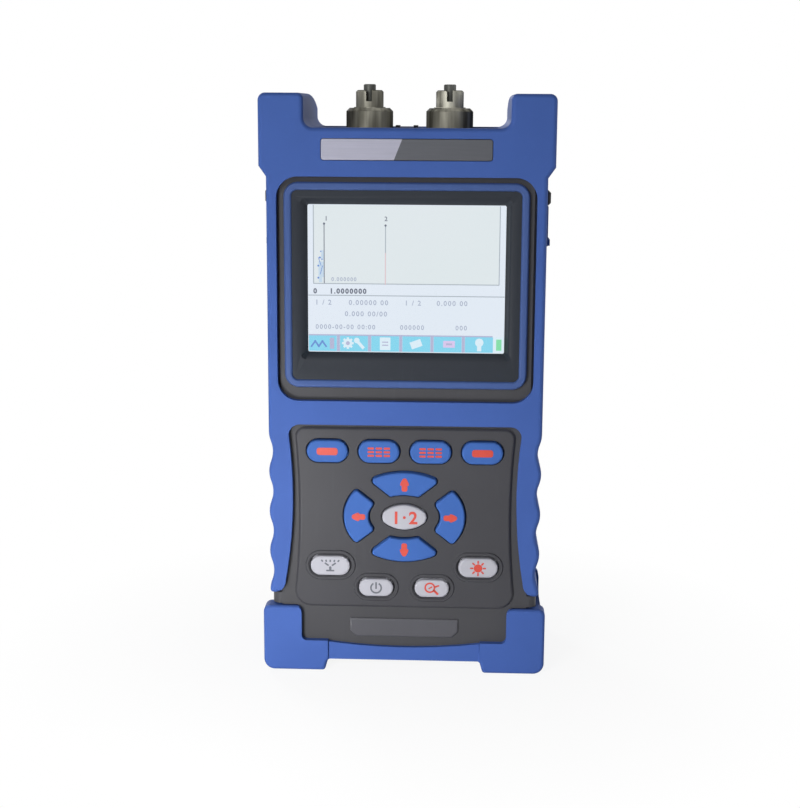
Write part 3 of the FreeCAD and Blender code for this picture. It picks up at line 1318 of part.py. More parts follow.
def label_plate():
    """Raised plate on the lower part of the front casing, with chamfered ends."""
    half = LABEL_PLATE[0] / 2
    low = LABEL_Z - LABEL_PLATE[1] / 2
    high = LABEL_Z + LABEL_PLATE[1] / 2
    cut = LABEL_CUT
    corners = [
        (-half, low + cut, 0),
        (-half + cut, low, 0),
        (half - cut, low, 0),
        (half, low + cut, 0),
        (half, high, 0),
        (-half, high, 0),
    ]
    plate = along_y(outline(corners, on_front(CASE_FRONT - LABEL_RISE)), LABEL_RISE)
    return plate.makeChamfer(LABEL_EDGE, rim(plate, "Y", CASE_FRONT - LABEL_RISE))


# ---- assembly ----------------------------------------------------------------------------------
def build():
    """All nodes of the instrument, by name."""
    envelope = casing_envelope()
    shell = casing_shell(envelope)
    keys = key_faces()
    nodes = {
        "front_casing": front_casing(shell),
        "rear_casing": rear_casing(shell),
        "upper_jacket": upper_jacket(envelope),
        "lower_boot": lower_boot(envelope),
        "nameplate": nameplate(),
        "label_plate": label_plate(),
        "screen_trim": screen_trim(),
        "screen_bezel": screen_bezel(),
        "display_window": display_window(),
        "display_panel": display_panel(),
        "keypad_fascia": keypad_fascia(keys),
        "dome_sheet": keypad_sheet(DOME_SHEET, dome_front()),
        "keypad_board": keypad_sheet(KEY_BOARD, dome_front() + DOME_SHEET),
        "port_bracket": port_bracket(),
        "data_socket": side_socket(1),
        "charging_socket": side_socket(-1),
        "deck_socket": deck_socket(),
        "deck_cover": deck_cover(),
        "tilt_stand": tilt_stand(),
        "stand_pins": Part.makeCompound([stand_pin(-1), stand_pin(1)]),
        "battery_door": battery_door(),
        "door_screw": door_screw(),
        "battery_pack": battery_pack(),
        "case_screws": case_screws(),
        "main_board": main_board(),
        "optical_module": optical_module(),
        "fibre_coil": fibre_coil(),
        "buzzer": buzzer(),
    }
    for name, face in keys.items():
        nodes[name] = key_cap(face)
    for number, x in enumerate((-PORT_X, PORT_X), start=1):
        nodes["port_%d_barrel" % number] = port_barrel(x)
        nodes["port_%d_sleeve" % number] = port_sleeve(x)
        nodes["port_%d_ring" % number] = port_ring(x)
    for name, side in (("left", -1), ("right", 1)):
        nodes[name + "_cover"] = side_cover(side)
        nodes[name + "_cover_anchor"] = cover_anchor(side)
    return nodes


def main():
    """Writes one STEP file per node and prints what each holds."""
    os.makedirs("parts", exist_ok=True)
    for name, shape in build().items():
        shape.exportStep("parts/%s.step" % name)
        box = shape.BoundBox
        print("%-22s solids %d faces %3d volume %9.1f valid %s  x %.1f %.1f y %.1f %.1f z %.1f %.1f" % (
            name, len(shape.Solids), len(shape.Faces), shape.Volume, shape.isValid(),
            box.XMin, box.XMax, box.YMin, box.YMax, box.ZMin, box.ZMax))


main()
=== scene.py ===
"""Looks of a handheld fibre tester: finishes, moulded edges, display picture and key marks on its CAD frame."""

import json
import logging
import math
from collections.abc import Callable, Iterable
from dataclasses import dataclass, field
from enum import Enum

import bmesh
import bpy
from mathutils import Matrix, Vector

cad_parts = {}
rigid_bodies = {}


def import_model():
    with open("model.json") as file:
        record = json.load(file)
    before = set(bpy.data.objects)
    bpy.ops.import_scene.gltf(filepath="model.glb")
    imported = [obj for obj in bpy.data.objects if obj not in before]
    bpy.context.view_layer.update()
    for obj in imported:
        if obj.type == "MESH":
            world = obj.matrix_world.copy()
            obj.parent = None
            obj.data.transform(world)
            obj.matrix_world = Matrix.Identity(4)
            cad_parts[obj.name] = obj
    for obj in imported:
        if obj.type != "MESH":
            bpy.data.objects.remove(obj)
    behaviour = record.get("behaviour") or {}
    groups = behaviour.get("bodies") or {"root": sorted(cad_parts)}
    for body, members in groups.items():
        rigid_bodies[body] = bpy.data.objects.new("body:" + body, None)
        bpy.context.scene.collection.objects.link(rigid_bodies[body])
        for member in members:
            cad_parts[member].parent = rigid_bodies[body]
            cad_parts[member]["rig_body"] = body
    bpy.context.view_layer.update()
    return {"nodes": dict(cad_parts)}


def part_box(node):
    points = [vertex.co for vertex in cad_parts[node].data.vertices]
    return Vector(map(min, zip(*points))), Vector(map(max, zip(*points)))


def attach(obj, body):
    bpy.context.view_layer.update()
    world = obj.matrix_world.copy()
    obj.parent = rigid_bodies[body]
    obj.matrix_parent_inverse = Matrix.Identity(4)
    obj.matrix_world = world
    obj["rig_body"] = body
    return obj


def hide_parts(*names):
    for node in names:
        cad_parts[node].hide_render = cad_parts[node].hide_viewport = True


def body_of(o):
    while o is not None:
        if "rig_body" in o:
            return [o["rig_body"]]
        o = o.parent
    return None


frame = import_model()

LOG = logging.getLogger("fibre_tester")
MM = 0.001

ROUND_STEPS = 3  # steps of a rounded rim
DOT_SIDES = 20
DOT_CORNER = 50.0  # degrees, above which a dot's edge is rounded
FACING = (math.pi / 2, 0, 0)  # turns what faces up to the front
FLAT_ANGLE = 0.6  # degrees, under which the CAD's triangles are merged into one face
MERGE_REACH = 0.000002  # metres, under which a copy's points are merged
RIM_CORNER = 25.0  # degrees, above which an edge counts as a rim
RIM_REACH = 0.00002  # metres, within which a point lies in a rim's plane
FLAT_WEIGHT = 90  # how much large faces weigh in the shading of a rounded edge
DIGIT_SCALE = 1.4  # text size of a digit that is one unit tall
THIN = 0.00001  # metres, length of the block that a ring is spun from
ALIGNED = 0.9  # cosine above which a face looks a given way

Piece = bpy.types.Object
Colour = tuple[float, float, float, float]
Triple = tuple[float, float, float]
Pair = tuple[float, float]
Rows = tuple[tuple[float, ...], ...]
WHITE: Colour = (1.0, 1.0, 1.0, 1.0)
EVEN: Triple = (1.0, 1.0, 1.0)


def paint(*levels: int) -> Colour:
    """Turns a colour on a display's 0 to 255 scale into linear light.

    Args:
        levels: Red, green and blue.

    Returns:
        The linear colour with full alpha.
    """
    parts = (level / 255 for level in levels)
    red, green, blue = (part / 12.92 if part <= 0.04045 else ((part + 0.055) / 1.055) ** 2.4 for part in parts)
    return (red, green, blue, 1.0)


def shade(colour: Colour, factor: float) -> Colour:
    """The same colour, lighter or darker by a factor."""
    red, green, blue = (min(part * factor, 1.0) for part in colour[:3])
    return (red, green, blue, 1.0)


# ---- shader trees
@dataclass
class Signal:
    """One output socket of a shader tree, with arithmetic that adds Math nodes."""

    tree: "ShaderTree"
    socket: bpy.types.NodeSocket | None

    def _math(self, operation: str, first: "Signal | float", second: "Signal | float") -> "Signal":
        """Adds one Math node, by Blender's name of its operation."""
        return self.tree.node("ShaderNodeMath", {"operation": operation}, {0: first, 1: second})

    def __add__(self, other: "Signal | float") -> "Signal":
        """Sum."""
        return self._math("ADD", self, other)

    def __radd__(self, other: "Signal | float") -> "Signal":
        """Sum with a number on the left."""
        return self._math("ADD", other, self)

    def __sub__(self, other: "Signal | float") -> "Signal":
        """Difference."""
        return self._math("SUBTRACT", self, other)

    def __rsub__(self, other: "Signal | float") -> "Signal":
        """Difference from a number on the left."""
        return self._math("SUBTRACT", other, self)

    def __mul__(self, other: "Signal | float") -> "Signal":
        """Product."""
        return self._math("MULTIPLY", self, other)

    def __rmul__(self, other: "Signal | float") -> "Signal":
        """Product with a number on the left."""
        return self._math("MULTIPLY", other, self)

    def above(self, limit: "Signal | float") -> "Signal":
        """One where the value is above the limit, and zero elsewhere."""
        return self._math("GREATER_THAN", self, limit)

    def kept(self) -> "Signal":
        """The value, kept from 0 to 1."""
        return self.tree.node("ShaderNodeClamp", {}, {"Value": self})

    def ramp(self, start: float, slope: float) -> "Signal":
        """Zero up to a start, then rising to one at a slope."""
        return ((self - start) * slope).kept()


class ShaderTree:
    """The node tree of one finish, or of the world."""

    def __init__(self, owner: bpy.types.ID) -> None:
        """Empties the node tree of a new material or world.

        Args:
            owner: The material or world.
        """
        owner.use_nodes = True
        self.owner = owner
        self.tree = owner.node_tree
        self.tree.nodes.clear()

    def node(
        self,
        kind: str,
        settings: dict[str, object],
        sockets: dict[str | int, object],
        output: str | int = 0,
    ) -> Signal:
        """Adds a node.

        Args:
            kind: The node's type.
            settings: Properties that are set first.
            sockets: Values or links of its inputs, by name or number.
            output: The output wanted.

        Returns:
            That output, or an empty signal where the node has none.
        """
        node = self.tree.nodes.new(kind)
        for key, value in settings.items():
            setattr(node, key, value)
        for key, value in sockets.items():
            if isinstance(value, Signal):
                self.tree.links.new(value.socket, node.inputs[key])
            else:
                node.inputs[key].default_value = value
        return Signal(self, node.outputs[output] if node.outputs else None)

    def place(self, stretch: Triple = EVEN) -> Signal:
        """Object coordinates, stretched along each axis."""
        here = self.node("ShaderNodeTexCoord", {}, {}, "Object")
        return self.node("ShaderNodeMapping", {}, {"Vector": here, "Scale": stretch})

    def noise(self, scale: float, detail: float = 2.0, stretch: Triple = EVEN) -> Signal:
        """Noise from 0 to 1, about 0.5 on average, by its grains to a metre and its octaves."""
        sockets = {"Vector": self.place(stretch), "Scale": scale, "Detail": detail, "Roughness": 0.6}
        return self.node("ShaderNodeTexNoise", {}, sockets, "Fac")

    def blend(self, factor: Signal | float, first: Signal | Colour, second: Signal | Colour) -> Signal:
        """Colour between two colours: the first at 0, the second at 1."""
        return self.node("ShaderNodeMix", {"data_type": "RGBA"}, {0: factor, 6: first, 7: second}, 2)

    def varied(self, factor: Signal, colour: Colour, low: float, high: float) -> Signal:
        """Colour between a darker tone of one colour, at 0, and a lighter one, at 1."""
        return self.blend(factor, shade(colour, low), shade(colour, high))

    def bump(self, height: Signal, distance: float) -> Signal:
        """Normal from a height of 0 to 1, where 1 stands for a distance in metres."""
        return self.node("ShaderNodeBump", {}, {"Height": height, "Distance": distance})

    def seen_plainly(self) -> Signal:
        """One for rays that the camera sees straight, by a reflection or through something clear.

        Returns:
            One for such a ray, zero for any other.
        """
        rays = ("Is Camera Ray", "Is Glossy Ray", "Is Transmission Ray")
        camera, glossy, clear = (self.node("ShaderNodeLightPath", {}, {}, ray) for ray in rays)
        return (camera + glossy + clear).kept()

    def surface(self, sockets: dict[str | int, object], kind: str = "ShaderNodeBsdfPrincipled") -> Signal:
        """Adds a shader with its inputs."""
        return self.node(kind, {}, sockets)

    def done(self, shader: Signal, kind: str = "ShaderNodeOutputMaterial") -> bpy.types.ID:
        """Joins the shader to an output node, and gives back the material or world."""
        self.node(kind, {}, {"Surface": shader})
        return self.owner


# ---- finishes
@dataclass(frozen=True)
class Finish:
    """What every finish has.

    Tones are the brightness of its darker and its lighter parts. A ramp is a start and a slope.
    """

    name: str

    def shader(self, tree: ShaderTree) -> Signal:
        """Builds the shader in the material's tree."""
        raise NotImplementedError

    def material(self) -> bpy.types.Material:
        """Builds the material."""
        tree = ShaderTree(bpy.data.materials.new(self.name))
        return tree.done(self.shader(tree))


@dataclass(frozen=True)
class SoftRubber(Finish):
    """Matt moulded rubber with a fine grain, faint dust and slightly rubbed patches."""

    colour: Colour
    roughness: float = 0.56
    grain: float = 0.000012
    dust: float = 0.14
    gloss: float = 0.06
    cloud_scale: float = 38.0
    grain_scale: float = 2600.0
    speck_scale: float = 900.0
    tones: Pair = (0.9, 1.1)
    dust_ramp: Pair = (0.58, 4.0)
    dust_tone: float = 1.5
    uneven: Triple = (-0.08, 0.12, 0.06)  # change of roughness: always, by clouds, by grain
    relief: Pair = (0.8, 0.4)  # shares of grain and specks

    def shader(self, tree: ShaderTree) -> Signal:
        """Rubber under specks of dust.

        Args:
            tree: The material's tree.

        Returns:
            The shader's output.
        """
        clouds = tree.noise(self.cloud_scale, 3.0)
        grain = tree.noise(self.grain_scale)
        specks = tree.noise(self.speck_scale, 4.0)
        tone = tree.varied(clouds, self.colour, *self.tones)
        dusty = specks.ramp(*self.dust_ramp) * self.dust
        always, by_clouds, by_grain = self.uneven
        height = grain * self.relief[0] + specks * self.relief[1]
        sockets = {
            "Base Color": tree.blend(dusty, tone, shade(self.colour, self.dust_tone)),
            "Roughness": self.roughness + always + clouds * by_clouds + grain * by_grain,
            "Normal": tree.bump(height, self.grain),
            "Specular IOR Level": self.gloss,
        }
        return tree.surface(sockets)


@dataclass(frozen=True)
class MouldedPlastic(Finish):
    """Moulded plastic: spark-eroded grain, fine scuffs and a little variation of tone."""

    colour: Colour
    roughness: float = 0.42
    grain: float = 0.000018
    gloss: float = 0.16
    cloud_scale: float = 30.0
    grain_scale: float = 1700.0
    tones: Pair = (0.88, 1.12)
    scuff_scale: float = 420.0
    scuff_stretch: Triple = (1.0, 1.0, 0.08)
    scuff_ramp: Pair = (0.62, 5.0)
    scuff_share: float = 0.12
    scuff_tone: float = 1.7
    uneven: Triple = (-0.06, 0.08, 0.08)  # change of roughness: always, by clouds, by grain

    def shader(self, tree: ShaderTree) -> Signal:
        """Plastic under fine scuffs.

        Args:
            tree: The material's tree.

        Returns:
            The shader's output.
        """
        clouds = tree.noise(self.cloud_scale, 3.0)
        grain = tree.noise(self.grain_scale, 3.0)
        scuffs = tree.noise(self.scuff_scale, stretch=self.scuff_stretch)
        tone = tree.varied(clouds, self.colour, *self.tones)
        worn = scuffs.ramp(*self.scuff_ramp) * self.scuff_share
        always, by_clouds, by_grain = self.uneven
        sockets = {
            "Base Color": tree.blend(worn, tone, shade(self.colour, self.scuff_tone)),
            "Roughness": self.roughness + always + clouds * by_clouds + grain * by_grain,
            "Normal": tree.bump(grain, self.grain),
            "Specular IOR Level": self.gloss,
        }
        return tree.surface(sockets)


class Turning(Enum):
    """Stretch of a metal's tool marks: fine rings round an upright axis, or none."""

    ROUND_PORT = (1.0, 1.0, 22.0)
    PLAIN = EVEN


@dataclass(frozen=True)
class WorkedMetal(Finish):
    """Turned or brushed metal with tool marks, tarnish and finger smudges, and, if asked, painted shade on rims
    that turn away from the view.
    """

    colour: Colour
    tarnish: Colour
    roughness: float = 0.3
    marks: Turning = Turning.PLAIN
    depth: float = 0.000002
    metal: float = 1.0
    # share of painted shade, which darkens the colour where the surface turns away from the view
    painted_rim_shade: float = 0.0
    mark_scale: float = 700.0
    smudge_scale: float = 260.0
    smudge_stretch: Triple = (1.0, 1.0, 0.12)
    smudge_ramp: Pair = (0.36, 3.4)
    uneven: Triple = (-0.05, 0.14, 0.05)  # change of roughness: always, by smudges, by marks
    rim_shade_ramp: Pair = (0.45, 2.4)
    rim_shade_tone: float = 0.25
    rim_dulls: Pair = (0.4, 0.7)  # what the painted rim shade takes off the gloss and its tint

    def shader(self, tree: ShaderTree) -> Signal:
        """Metal with its tarnish, and painted shade where it turns away from the view, if asked.

        Args:
            tree: The material's tree.

        Returns:
            The shader's output.
        """
        marks = tree.noise(self.mark_scale, 3.0, self.marks.value)
        smudge = tree.noise(self.smudge_scale, stretch=self.smudge_stretch)
        colour = tree.blend(smudge.ramp(*self.smudge_ramp), self.colour, self.tarnish)
        turned = tree.node("ShaderNodeLayerWeight", {}, {"Blend": 0.5}, "Facing")
        # painted shade: the colour darkens towards a deep tarnish tone where the surface turns away from the
        # view
        rim = turned.ramp(*self.rim_shade_ramp) * self.painted_rim_shade
        colour = tree.blend(rim, colour, shade(self.tarnish, self.rim_shade_tone))
        always, by_smudge, by_marks = self.uneven
        sockets = {
            "Base Color": colour,
            "Metallic": self.metal,
            "Roughness": self.roughness + always + smudge * by_smudge + marks * by_marks,
            "Normal": tree.bump(marks, self.depth),
            "Specular IOR Level": 0.5 - self.rim_dulls[0] * self.painted_rim_shade,
            "Specular Tint": shade(WHITE, 1.0 - self.rim_dulls[1] * self.painted_rim_shade),
        }
        return tree.surface(sockets)


@dataclass(frozen=True)
class SplitPlate(Finish):
    """Nameplate metal: bright on the left, dark grey to the right of a slanted boundary."""

    bright: Colour
    dark: Colour
    boundary: float
    slant: float
    height: float
    brush_scale: float = 1500.0
    brush_stretch: Triple = (0.04, 1.0, 1.0)
    brush_depth: float = 0.000004
    bright_tones: Pair = (0.9, 1.08)
    dark_tones: Pair = (0.85, 1.15)
    metal: float = 0.3
    roughness: float = 0.36
    uneven: float = 0.12

    def shader(self, tree: ShaderTree) -> Signal:
        """Brushed metal in two parts.

        Args:
            tree: The material's tree.

        Returns:
            The shader's output.
        """
        across, up = (tree.node("ShaderNodeSeparateXYZ", {}, {"Vector": tree.place()}, way) for way in "XZ")
        right = across.above(self.boundary + (up - self.height) * self.slant)
        brush = tree.noise(self.brush_scale, stretch=self.brush_stretch)
        bright = tree.varied(brush, self.bright, *self.bright_tones)
        dark = tree.varied(brush, self.dark, *self.dark_tones)
        sockets = {
            "Base Color": tree.blend(right, bright, dark),
            "Metallic": self.metal,
            "Roughness": self.roughness + brush * self.uneven,
            "Normal": tree.bump(brush, self.brush_depth),
        }
        return tree.surface(sockets)


@dataclass(frozen=True)
class Ink(Finish):
    """Printed ink or a plain lacquer, with a little unevenness."""

    colour: Colour
    roughness: float = 0.45
    patch_scale: float = 1500.0
    tones: Pair = (0.9, 1.08)
    uneven: float = 0.1

    def shader(self, tree: ShaderTree) -> Signal:
        """Ink in faint patches.

        Args:
            tree: The material's tree.

        Returns:
            The shader's output.
        """
        patches = tree.noise(self.patch_scale)
        colour = tree.varied(patches, self.colour, *self.tones)
        rough = self.roughness + patches * self.uneven
        return tree.surface({"Base Color": colour, "Roughness": rough})


@dataclass(frozen=True)
class Lit(Finish):
    """A lit area of the display, in soft patches of two near colours."""

    colour: Colour
    other: Colour
    patch_scale: float = 14.0
    unlit: float = 0.01
    roughness: float = 0.4
    gloss: float = 0.03

    def shader(self, tree: ShaderTree) -> Signal:
        """Light in soft patches from a nearly black face.

        Args:
            tree: The material's tree.

        Returns:
            The shader's output.
        """
        patches = tree.noise(self.patch_scale, 1.0)
        sockets = {
            "Base Color": shade(WHITE, self.unlit),
            "Roughness": self.roughness,
            "Emission Color": tree.blend(patches, self.colour, self.other),
            "Emission Strength": 1.0,
            "Specular IOR Level": self.gloss,
        }
        return tree.surface(sockets)


@dataclass(frozen=True)
class ClearSheet(Finish):
    """Clear window plastic: almost nothing but a faint reflection."""

    film: float = 0.005
    smear: float = 0.004
    smear_scale: float = 60.0
    roughness: float = 0.12

    def shader(self, tree: ShaderTree) -> Signal:
        """Clear plastic under a faint gloss.

        Args:
            tree: The material's tree.

        Returns:
            The shader's output.
        """
        clear = tree.surface({"Color": WHITE}, "ShaderNodeBsdfTransparent")
        gloss = tree.surface({"Color": WHITE, "Roughness": self.roughness}, "ShaderNodeBsdfGlossy")
        share = tree.noise(self.smear_scale) * self.smear + self.film
        return tree.node("ShaderNodeMixShader", {}, {0: share, 1: clear, 2: gloss})


BLUE_RUBBER = SoftRubber("blue_rubber", paint(65, 92, 158), roughness=0.5)
BLUE_COVER = SoftRubber("blue_cover_rubber", paint(56, 81, 144), roughness=0.58)
BLACK_RUBBER = SoftRubber("black_rubber", paint(38, 38, 42), dust=0.2)
GREY_PLASTIC = MouldedPlastic("grey_plastic", paint(66, 66, 69), roughness=0.4)
FASCIA_PLASTIC = MouldedPlastic("fascia_plastic", paint(64, 64, 68), roughness=0.4, grain=0.00001)
LABEL_PLASTIC = MouldedPlastic("label_plastic", paint(80, 80, 85), roughness=0.34, grain=0.00001)
BEZEL_PLASTIC = MouldedPlastic("bezel_plastic", paint(40, 44, 51), roughness=0.42, grain=0.00001)
BACK_PLASTIC = MouldedPlastic("back_plastic", paint(60, 61, 64), roughness=0.48)
SOCKET_PLASTIC = MouldedPlastic("socket_plastic", paint(26, 26, 28), roughness=0.5)
BLUE_GLOSS = MouldedPlastic("blue_trim_plastic", paint(64, 86, 138), roughness=0.34, grain=0.000006)
BLUE_KEY = SoftRubber("blue_key_rubber", paint(62, 98, 166), 0.46, grain=0.000006, dust=0.06)
LIGHT_KEY = SoftRubber("light_key_rubber", paint(170, 170, 178), 0.46, grain=0.000006, dust=0.05)
STEEL = WorkedMetal("bright_steel", paint(186, 188, 190), paint(140, 142, 146), roughness=0.28)
# the ports' metals get painted shade on rims that turn away from the view
PORT_METAL = {"marks": Turning.ROUND_PORT, "metal": 0.6, "painted_rim_shade": 1.0}
NICKEL = WorkedMetal("ring_nickel", paint(150, 148, 136), paint(80, 78, 70), 0.46, **PORT_METAL)
ADAPTER = WorkedMetal("adapter_nickel", paint(180, 178, 165), paint(110, 108, 98), 0.44, **PORT_METAL)
FERRULE = WorkedMetal("ferrule_sleeve_metal", paint(116, 117, 112), paint(72, 73, 70), 0.44, **PORT_METAL)
PLATE = SplitPlate(
    "split_nameplate", paint(152, 152, 167), paint(74, 76, 82), boundary=-0.003, slant=0.4, height=0.1908
)
RED_INK = Ink("red_ink", paint(192, 60, 44))
DARK_INK = Ink("dark_ink", paint(86, 90, 98))
LIT_PAPER = Lit("lit_background", paint(218, 230, 238), paint(230, 236, 248))
LIT_PLOT = Lit("lit_plot_area", paint(216, 229, 229), paint(226, 231, 237))
LIT_GREY = Lit("lit_grey_line", paint(158, 168, 178), paint(166, 176, 186))
LIT_DARK = Lit("lit_dark_text", paint(92, 98, 116), paint(108, 114, 130))
LIT_FAINT = Lit("lit_faint_text", paint(172, 182, 202), paint(160, 170, 192))
LIT_PALE = Lit("lit_pale_blue", paint(190, 212, 228), paint(200, 218, 236))
LIT_RED = Lit("lit_red_line", paint(222, 186, 194), paint(216, 192, 198))
LIT_CYAN = Lit("lit_cyan_tile", paint(122, 216, 236), paint(144, 208, 238))
LIT_PINK = Lit("lit_pink_line", paint(172, 176, 208), paint(184, 186, 214))
LIT_BLUE = Lit("lit_blue_mark", paint(96, 138, 206), paint(112, 146, 212))
LIT_WHITE = Lit("lit_white_mark", paint(222, 236, 248), paint(214, 236, 244))
LIT_ROSE = Lit("lit_rose_mark", paint(212, 192, 232), paint(222, 204, 238))
LIT_GREEN = Lit("lit_green_mark", paint(124, 218, 164), paint(134, 222, 170))
CLEAR = ClearSheet("clear_window_plastic")

FINISHES: dict[Finish, bpy.types.Material] = {}


def dress(piece: Piece, finish: Finish) -> None:
    """Gives a piece one finish all over.

    Args:
        piece: The piece.
        finish: One of the finishes above.
    """
    if finish not in FINISHES:
        FINISHES[finish] = finish.material()
    piece.data.materials.clear()
    piece.data.materials.append(FINISHES[finish])


# ---- modelling
def pick(piece: Piece) -> None:
    """Makes one object the only one selected, and active.

    Args:
        piece: The object.
    """
    bpy.ops.object.select_all(action="DESELECT")
    piece.select_set(True)
    bpy.context.view_layer.objects.active = piece


def settle(piece: Piece, name: str) -> Piece:
    """Makes a new piece a mesh with its place and turn applied, and names it.

    Args:
        piece: The piece.
        name: Its name.

    Returns:
        The piece.
    """
    pick(piece)
    if piece.type != "MESH":
        bpy.ops.object.convert(target="MESH")
    bpy.ops.object.transform_apply(location=True, rotation=True, scale=True)
    piece.name = name
    piece.data.name = name
    return piece


def soften(piece: Piece, width: float, segments: int, limit: float = 30.0) -> None:
    """Rounds the sharp edges of a piece with an applied Bevel modifier.

    Args:
        piece: The piece.
        width: Width of the rounding, in metres.
        segments: Steps of the rounding.
        limit: Edges sharper than this angle are rounded, in degrees.
    """
    pick(piece)
    bevel = piece.modifiers.new("round", "BEVEL")
    bevel.width = width
    bevel.segments = segments
    bevel.limit_method = "ANGLE"
    bevel.angle_limit = math.radians(limit)
    bpy.ops.object.modifier_apply(modifier=bevel.name)


def smooth(piece: Piece, angle: float = 35.0) -> None:
    """Shades a piece smooth, apart from edges sharper than an angle, with flat faces kept flat.

    Args:
        piece: The piece.
        angle: The angle in degrees.
    """
    pick(piece)
    bpy.ops.object.shade_smooth_by_angle(angle=math.radians(angle))
    weigh = piece.modifiers.new("weigh", "WEIGHTED_NORMAL")
    weigh.mode = "FACE_AREA"
    weigh.weight = FLAT_WEIGHT
    weigh.keep_sharp = True
    bpy.ops.object.modifier_apply(modifier=weigh.name)


def block(name: str, centre: Vector, size: Vector | Triple, turn: float = 0.0) -> Piece:
    """A square block, to be shaped.

    Args:
        name: Its name.
        centre: Its middle.
        size: Its three sizes, in metres.
        turn: Its turn to the left as seen from the front, in degrees.

    Returns:
        The block.
    """
    lean = (0, -math.radians(turn), 0)
    bpy.ops.object.select_all(action="DESELECT")
    bpy.ops.mesh.primitive_cube_add(size=1, location=centre, scale=size, rotation=lean)
    return settle(bpy.context.active_object, name)


def digits(
    name: str,
    text: str,
    place: Vector,
    size: float,
    depth: float,
    weight: float,
    spread: float = 1.0,
    steps: int = 2,
) -> Piece:
    """A row of plain digits that faces the front.

    Args:
        name: Its name.
        text: The digits.
        place: Left end of its base line.
        size: Height of the digits, in metres.
        depth: Half their thickness.
        weight: How far their strokes are thickened.
        spread: Their spacing.
        steps: Steps of their curves.

    Returns:
        The row as a mesh.
    """
    bpy.ops.object.select_all(action="DESELECT")
    bpy.ops.object.text_add(location=place, rotation=FACING)
    row = bpy.context.active_object
    row.data.body = text
    row.data.size = size * DIGIT_SCALE
    row.data.space_character = spread
    row.data.extrude = depth
    row.data.offset = weight
    row.data.resolution_u = steps
    return settle(row, name)


def joined(name: str, pieces: list[Piece]) -> Piece:
    """Joins pieces of one finish into one object.

    Args:
        name: The object's name.
        pieces: The pieces, at least one.

    Returns:
        The object.
    """
    pick(pieces[0])
    for piece in pieces[1:]:
        piece.select_set(True)
    if len(pieces) > 1:
        bpy.ops.object.join()
    whole = bpy.context.active_object
    whole.name = name
    whole.data.name = name
    return whole


def moulded_copy(node: str, name: str) -> Piece:
    """A copy of a CAD node with its triangles merged into flat faces.

    Args:
        node: The CAD node.
        name: Name of the copy.

    Returns:
        The copy.
    """
    source = frame["nodes"][node]
    piece = bpy.data.objects.new(name, source.data.copy())
    bpy.context.scene.collection.objects.link(piece)
    piece.data.name = name
    pick(piece)
    bpy.ops.object.mode_set(mode="EDIT")
    bpy.ops.mesh.select_all(action="SELECT")
    bpy.ops.mesh.remove_doubles(threshold=MERGE_REACH)
    bpy.ops.mesh.dissolve_limited(angle_limit=math.radians(FLAT_ANGLE))
    bpy.ops.mesh.normals_make_consistent(inside=False)
    bpy.ops.object.mode_set(mode="OBJECT")
    return piece


class Element(Enum):
    """What is selected in edit mode."""

    EDGES = "EDGE"
    FACES = "FACE"


def open_with(piece: Piece, kind: Element, wanted: Callable[[object], bool]) -> None:
    """Opens a piece in edit mode with only some of its edges or faces selected.

    Args:
        piece: The piece.
        kind: Edges or faces.
        wanted: Says which are selected.
    """
    pick(piece)
    bpy.ops.object.mode_set(mode="EDIT")
    bpy.ops.mesh.select_mode(type=kind.value)
    bpy.ops.mesh.select_all(action="DESELECT")
    mesh = bmesh.from_edit_mesh(piece.data)
    for element in mesh.edges if kind is Element.EDGES else mesh.faces:
        element.select = wanted(element)
    bmesh.update_edit_mesh(piece.data)


def round_rim(piece: Piece, level: float, width: float) -> None:
    """Rounds the sharp outward edges of a piece that lie in one plane parallel to the front.

    Args:
        piece: The piece.
        level: The plane's place from front to back, in metres.
        width: Width of the rounding.
    """

    def sharp(edge: bmesh.types.BMEdge) -> bool:
        """Whether an edge lies in the plane and is a sharp outward one."""
        inside = all(abs(vertex.co.y - level) < RIM_REACH for vertex in edge.verts)
        return inside and edge.is_convex and edge.calc_face_angle() > math.radians(RIM_CORNER)

    open_with(piece, Element.EDGES, sharp)
    bpy.ops.mesh.bevel(offset=width, segments=ROUND_STEPS, profile=0.5, affect="EDGES", clamp_overlap=True)
    bpy.ops.object.mode_set(mode="OBJECT")


def finished(piece: Piece, finish: Finish, body: str, nodes: tuple[str, ...] = ()) -> None:
    """Dresses a new piece and seats it on its body.

    Args:
        piece: The piece.
        finish: Its finish.
        body: The CAD body that carries it.
        nodes: CAD nodes that it stands for.
    """
    dress(piece, finish)
    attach(piece, body)
    if nodes:
        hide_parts(*nodes)
    LOG.info("%s on %s: %d faces", piece.name, body, len(piece.data.polygons))


def moulding(
    node: str,
    finish: Finish,
    slot: str,
    angle: float,
    rim: float = 0.0,
    behind: float = 0.0,
    kind: str = "moulding",
) -> None:
    """Dresses a smooth-shaded copy that stands for one CAD node, on the node's own body.

    Args:
        node: The CAD node.
        finish: Its finish.
        slot: Its material slot; not used.
        angle: Edges sharper than this stay sharp, in degrees.
        rim: Width of the rounding of its front edges, in metres.
        behind: How far those edges lie behind its foremost point.
        kind: The word that ends the copy's name.
    """
    piece = moulded_copy(node, f"{node}_{kind}")
    if rim:
        round_rim(piece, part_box(node)[0][1] + behind, rim)
    smooth(piece, angle)
    finished(piece, finish, body_of(frame["nodes"][node])[0], (node,))


